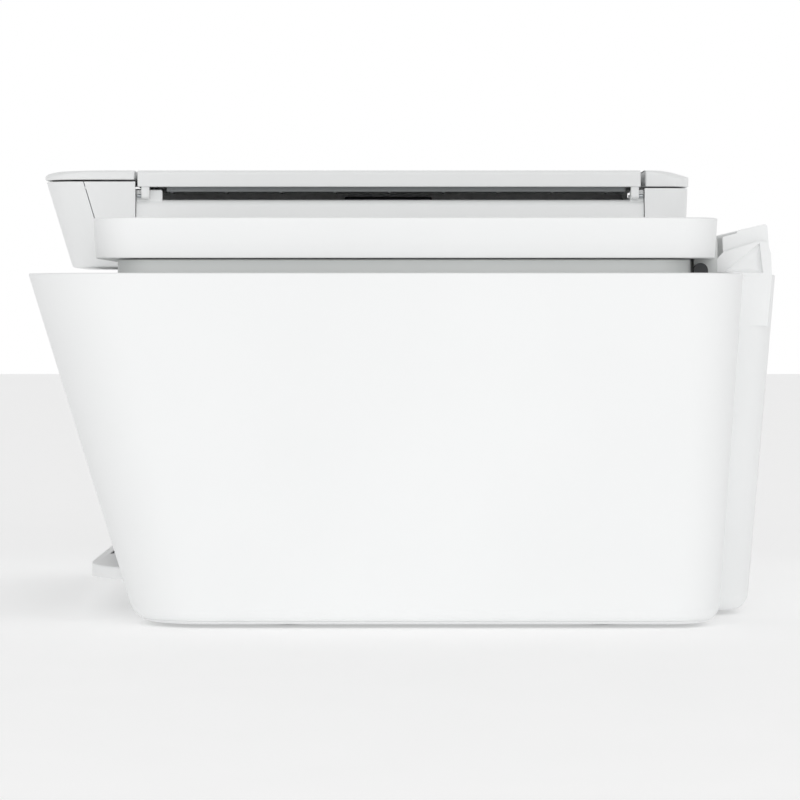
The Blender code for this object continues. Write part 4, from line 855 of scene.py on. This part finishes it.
bezel = front_slab("slot_bezel", (SLOT_X[0] - 0.007, SLOT_X[1] + 0.007), (0.0105, 0.111), 0.0034, 0.006)
frame_x = (SLOT_X[0] + 0.0002, SLOT_X[1] - 0.0002)
carve(bezel, block("bezel_tool", frame_x, (-0.17, -0.05), (0.014, 0.1035), 0.0028, 0.0002, axis="Y"))
DOOR_Z = 0.0561
door_y = front_face(DOOR_Z) + 0.0048
carve(bezel, disc("bore_tool", (door_y, DOOR_Z), 0.0016, (-0.11, 0.16), 0.0002, "X", columns=24))
dress(bezel, grey_abs, "base", "grey_plastic", "front_bezel")

door = front_slab("ink_door", SLOT_X, (0.050, 0.106), 0.0, 0.0026)
door_x = (SLOT_X[0] + 0.0006, SLOT_X[1] - 0.0006)
shape = block("shape_tool", door_x, (-0.2, -0.05), (0.0545, 0.103), 0.0022, 0.0002, axis="Y")
carve(door, shape, operation="INTERSECT")
carve(door, disc("pull_tool", (0.024, 0.1065), 0.016, (-0.15, -0.1345), 0.0010, "Y"))
lugs = []
lug_y, lug_z = (door_y - 0.0035, door_y + 0.0016), (DOOR_Z - 0.0016, DOOR_Z + 0.0022)
for low, high, pin in ((-0.0953, -0.090, (-0.099, -0.093)), (0.138, 0.1433, (0.141, 0.147))):
    lugs.append(block("lug", (low, high), lug_y, lug_z, 0.001, 0.0002, axis="X"))
    lugs.append(disc("door_pin", (door_y, DOOR_Z), 0.0013, pin, 0.0002, "X", columns=24))
carve(door, *lugs, operation="UNION")
dress(door, white_abs, "cartridge_door_body", "white_plastic", "cartridge_door")

sheet_tray = block("sheet_tray", (-0.0920, 0.1400), (-0.0975, -0.002), (0.0206, 0.0236), 0.002, 0.0006)
dress(sheet_tray, grey_abs, "output_tray_body", "grey_plastic", "output_tray")
LIP_BACK, LIP_FRONT, LIP_CORNER = -0.1122, -0.1294, 0.036
inset, station = edge_rows(0.0158, 0.0213, 0.0010, 0.0010)
turn_in = np.linspace(0, np.pi / 2, 25)
left_x = PAPER_LEFT + LIP_CORNER * (1 - np.cos(turn_in))
corner_x = np.concatenate([left_x, PAPER_RIGHT - LIP_CORNER * (1 - np.sin(turn_in))])
corner_y = LIP_BACK + (LIP_FRONT - LIP_BACK) * np.concatenate([np.sin(turn_in), np.cos(turn_in)])
middle = np.array([(PAPER_LEFT + PAPER_RIGHT) / 2, LIP_BACK])
rim = np.stack([corner_x, corner_y], axis=-1)
span = rim - middle
reach = np.maximum(np.linalg.norm(span, axis=1), 0.02)
flat = middle + span * (1 - inset[:, None, None] / reach[None, :, None])
lip_piece = stacked("tray_lip", flat, station, caps=True)
slide = block("lip_slide", (-0.0860, 0.1340), (-0.1142, -0.004), (0.0192, 0.0203), 0.0005, 0.0003)
carve(lip_piece, slide, operation="UNION")
carve(lip_piece, block("pocket_tool", (-0.0066, 0.0546), (-0.1256, -0.1132), (0.0182, 0.03), 0.001, 0.0003))
dress(lip_piece, white_abs, "tray_extension_body", "white_plastic", "tray_extension")
catch_y, catch_z = (-0.1252, -0.1136), (0.0186, 0.0210)
catch = block("sheet_catch", (-0.006, 0.054), catch_y, catch_z, 0.0010, 0.0004, axis="X")
dress(catch, grey_abs, "paper_catch_body", "grey_plastic", "paper_catch")


# Print mechanism and electronics, inside: a zinc-plated steel chassis, rod and motors, moulded acetal
# gears, rubber rollers, ink cartridges, and a solder-masked circuit board.
acetal = moulded_plastic("white_acetal", "eceae4", "e6e4de", 0.35, 0.0005, 0.00002)
refinish(steel, "chassis", "carriage_rod", "feed_motor", "carriage_motor", "motor_pinion")
refinish(feed_rubber, "feed_roller", "eject_roller", "pick_roller", "carriage_belt")
refinish(acetal, "idler_gear", "belt_pulley_drive", "belt_pulley_idler")
refinish(black_abs, "platen", "ink_cartridge_black")
refinish(dark_abs, "carriage", "ink_cartridge_colour")
refinish(grey_abs, "service_station")

# Circuit board: woven glass and epoxy under a green solder mask, drawn with coarse traces.
mask, tree, shader = material("solder_mask_glass_epoxy")
place = add(tree, "ShaderNodeTexCoord")
traces = add(tree, "ShaderNodeTexBrick", {"Vector": place.outputs["Object"]}, Scale=160.0, Mortar_Size=0.04)
traces.inputs["Color1"].default_value = linear("1f5a36")
traces.inputs["Color2"].default_value = linear("246640")
traces.inputs["Mortar"].default_value = linear("2f7a4d")
tree.links.new(traces.outputs["Color"], shader.inputs["Base Color"])
shader.inputs["Roughness"].default_value = 0.35
refinish(mask, "main_board")


# Rear sockets: a plated USB shell with its tongue, and the black supply whose inlet comes through the
# wall. Both stop just inside the housing's openings.
refinish(steel, "usb_socket")
refinish(black_abs, "power_supply")
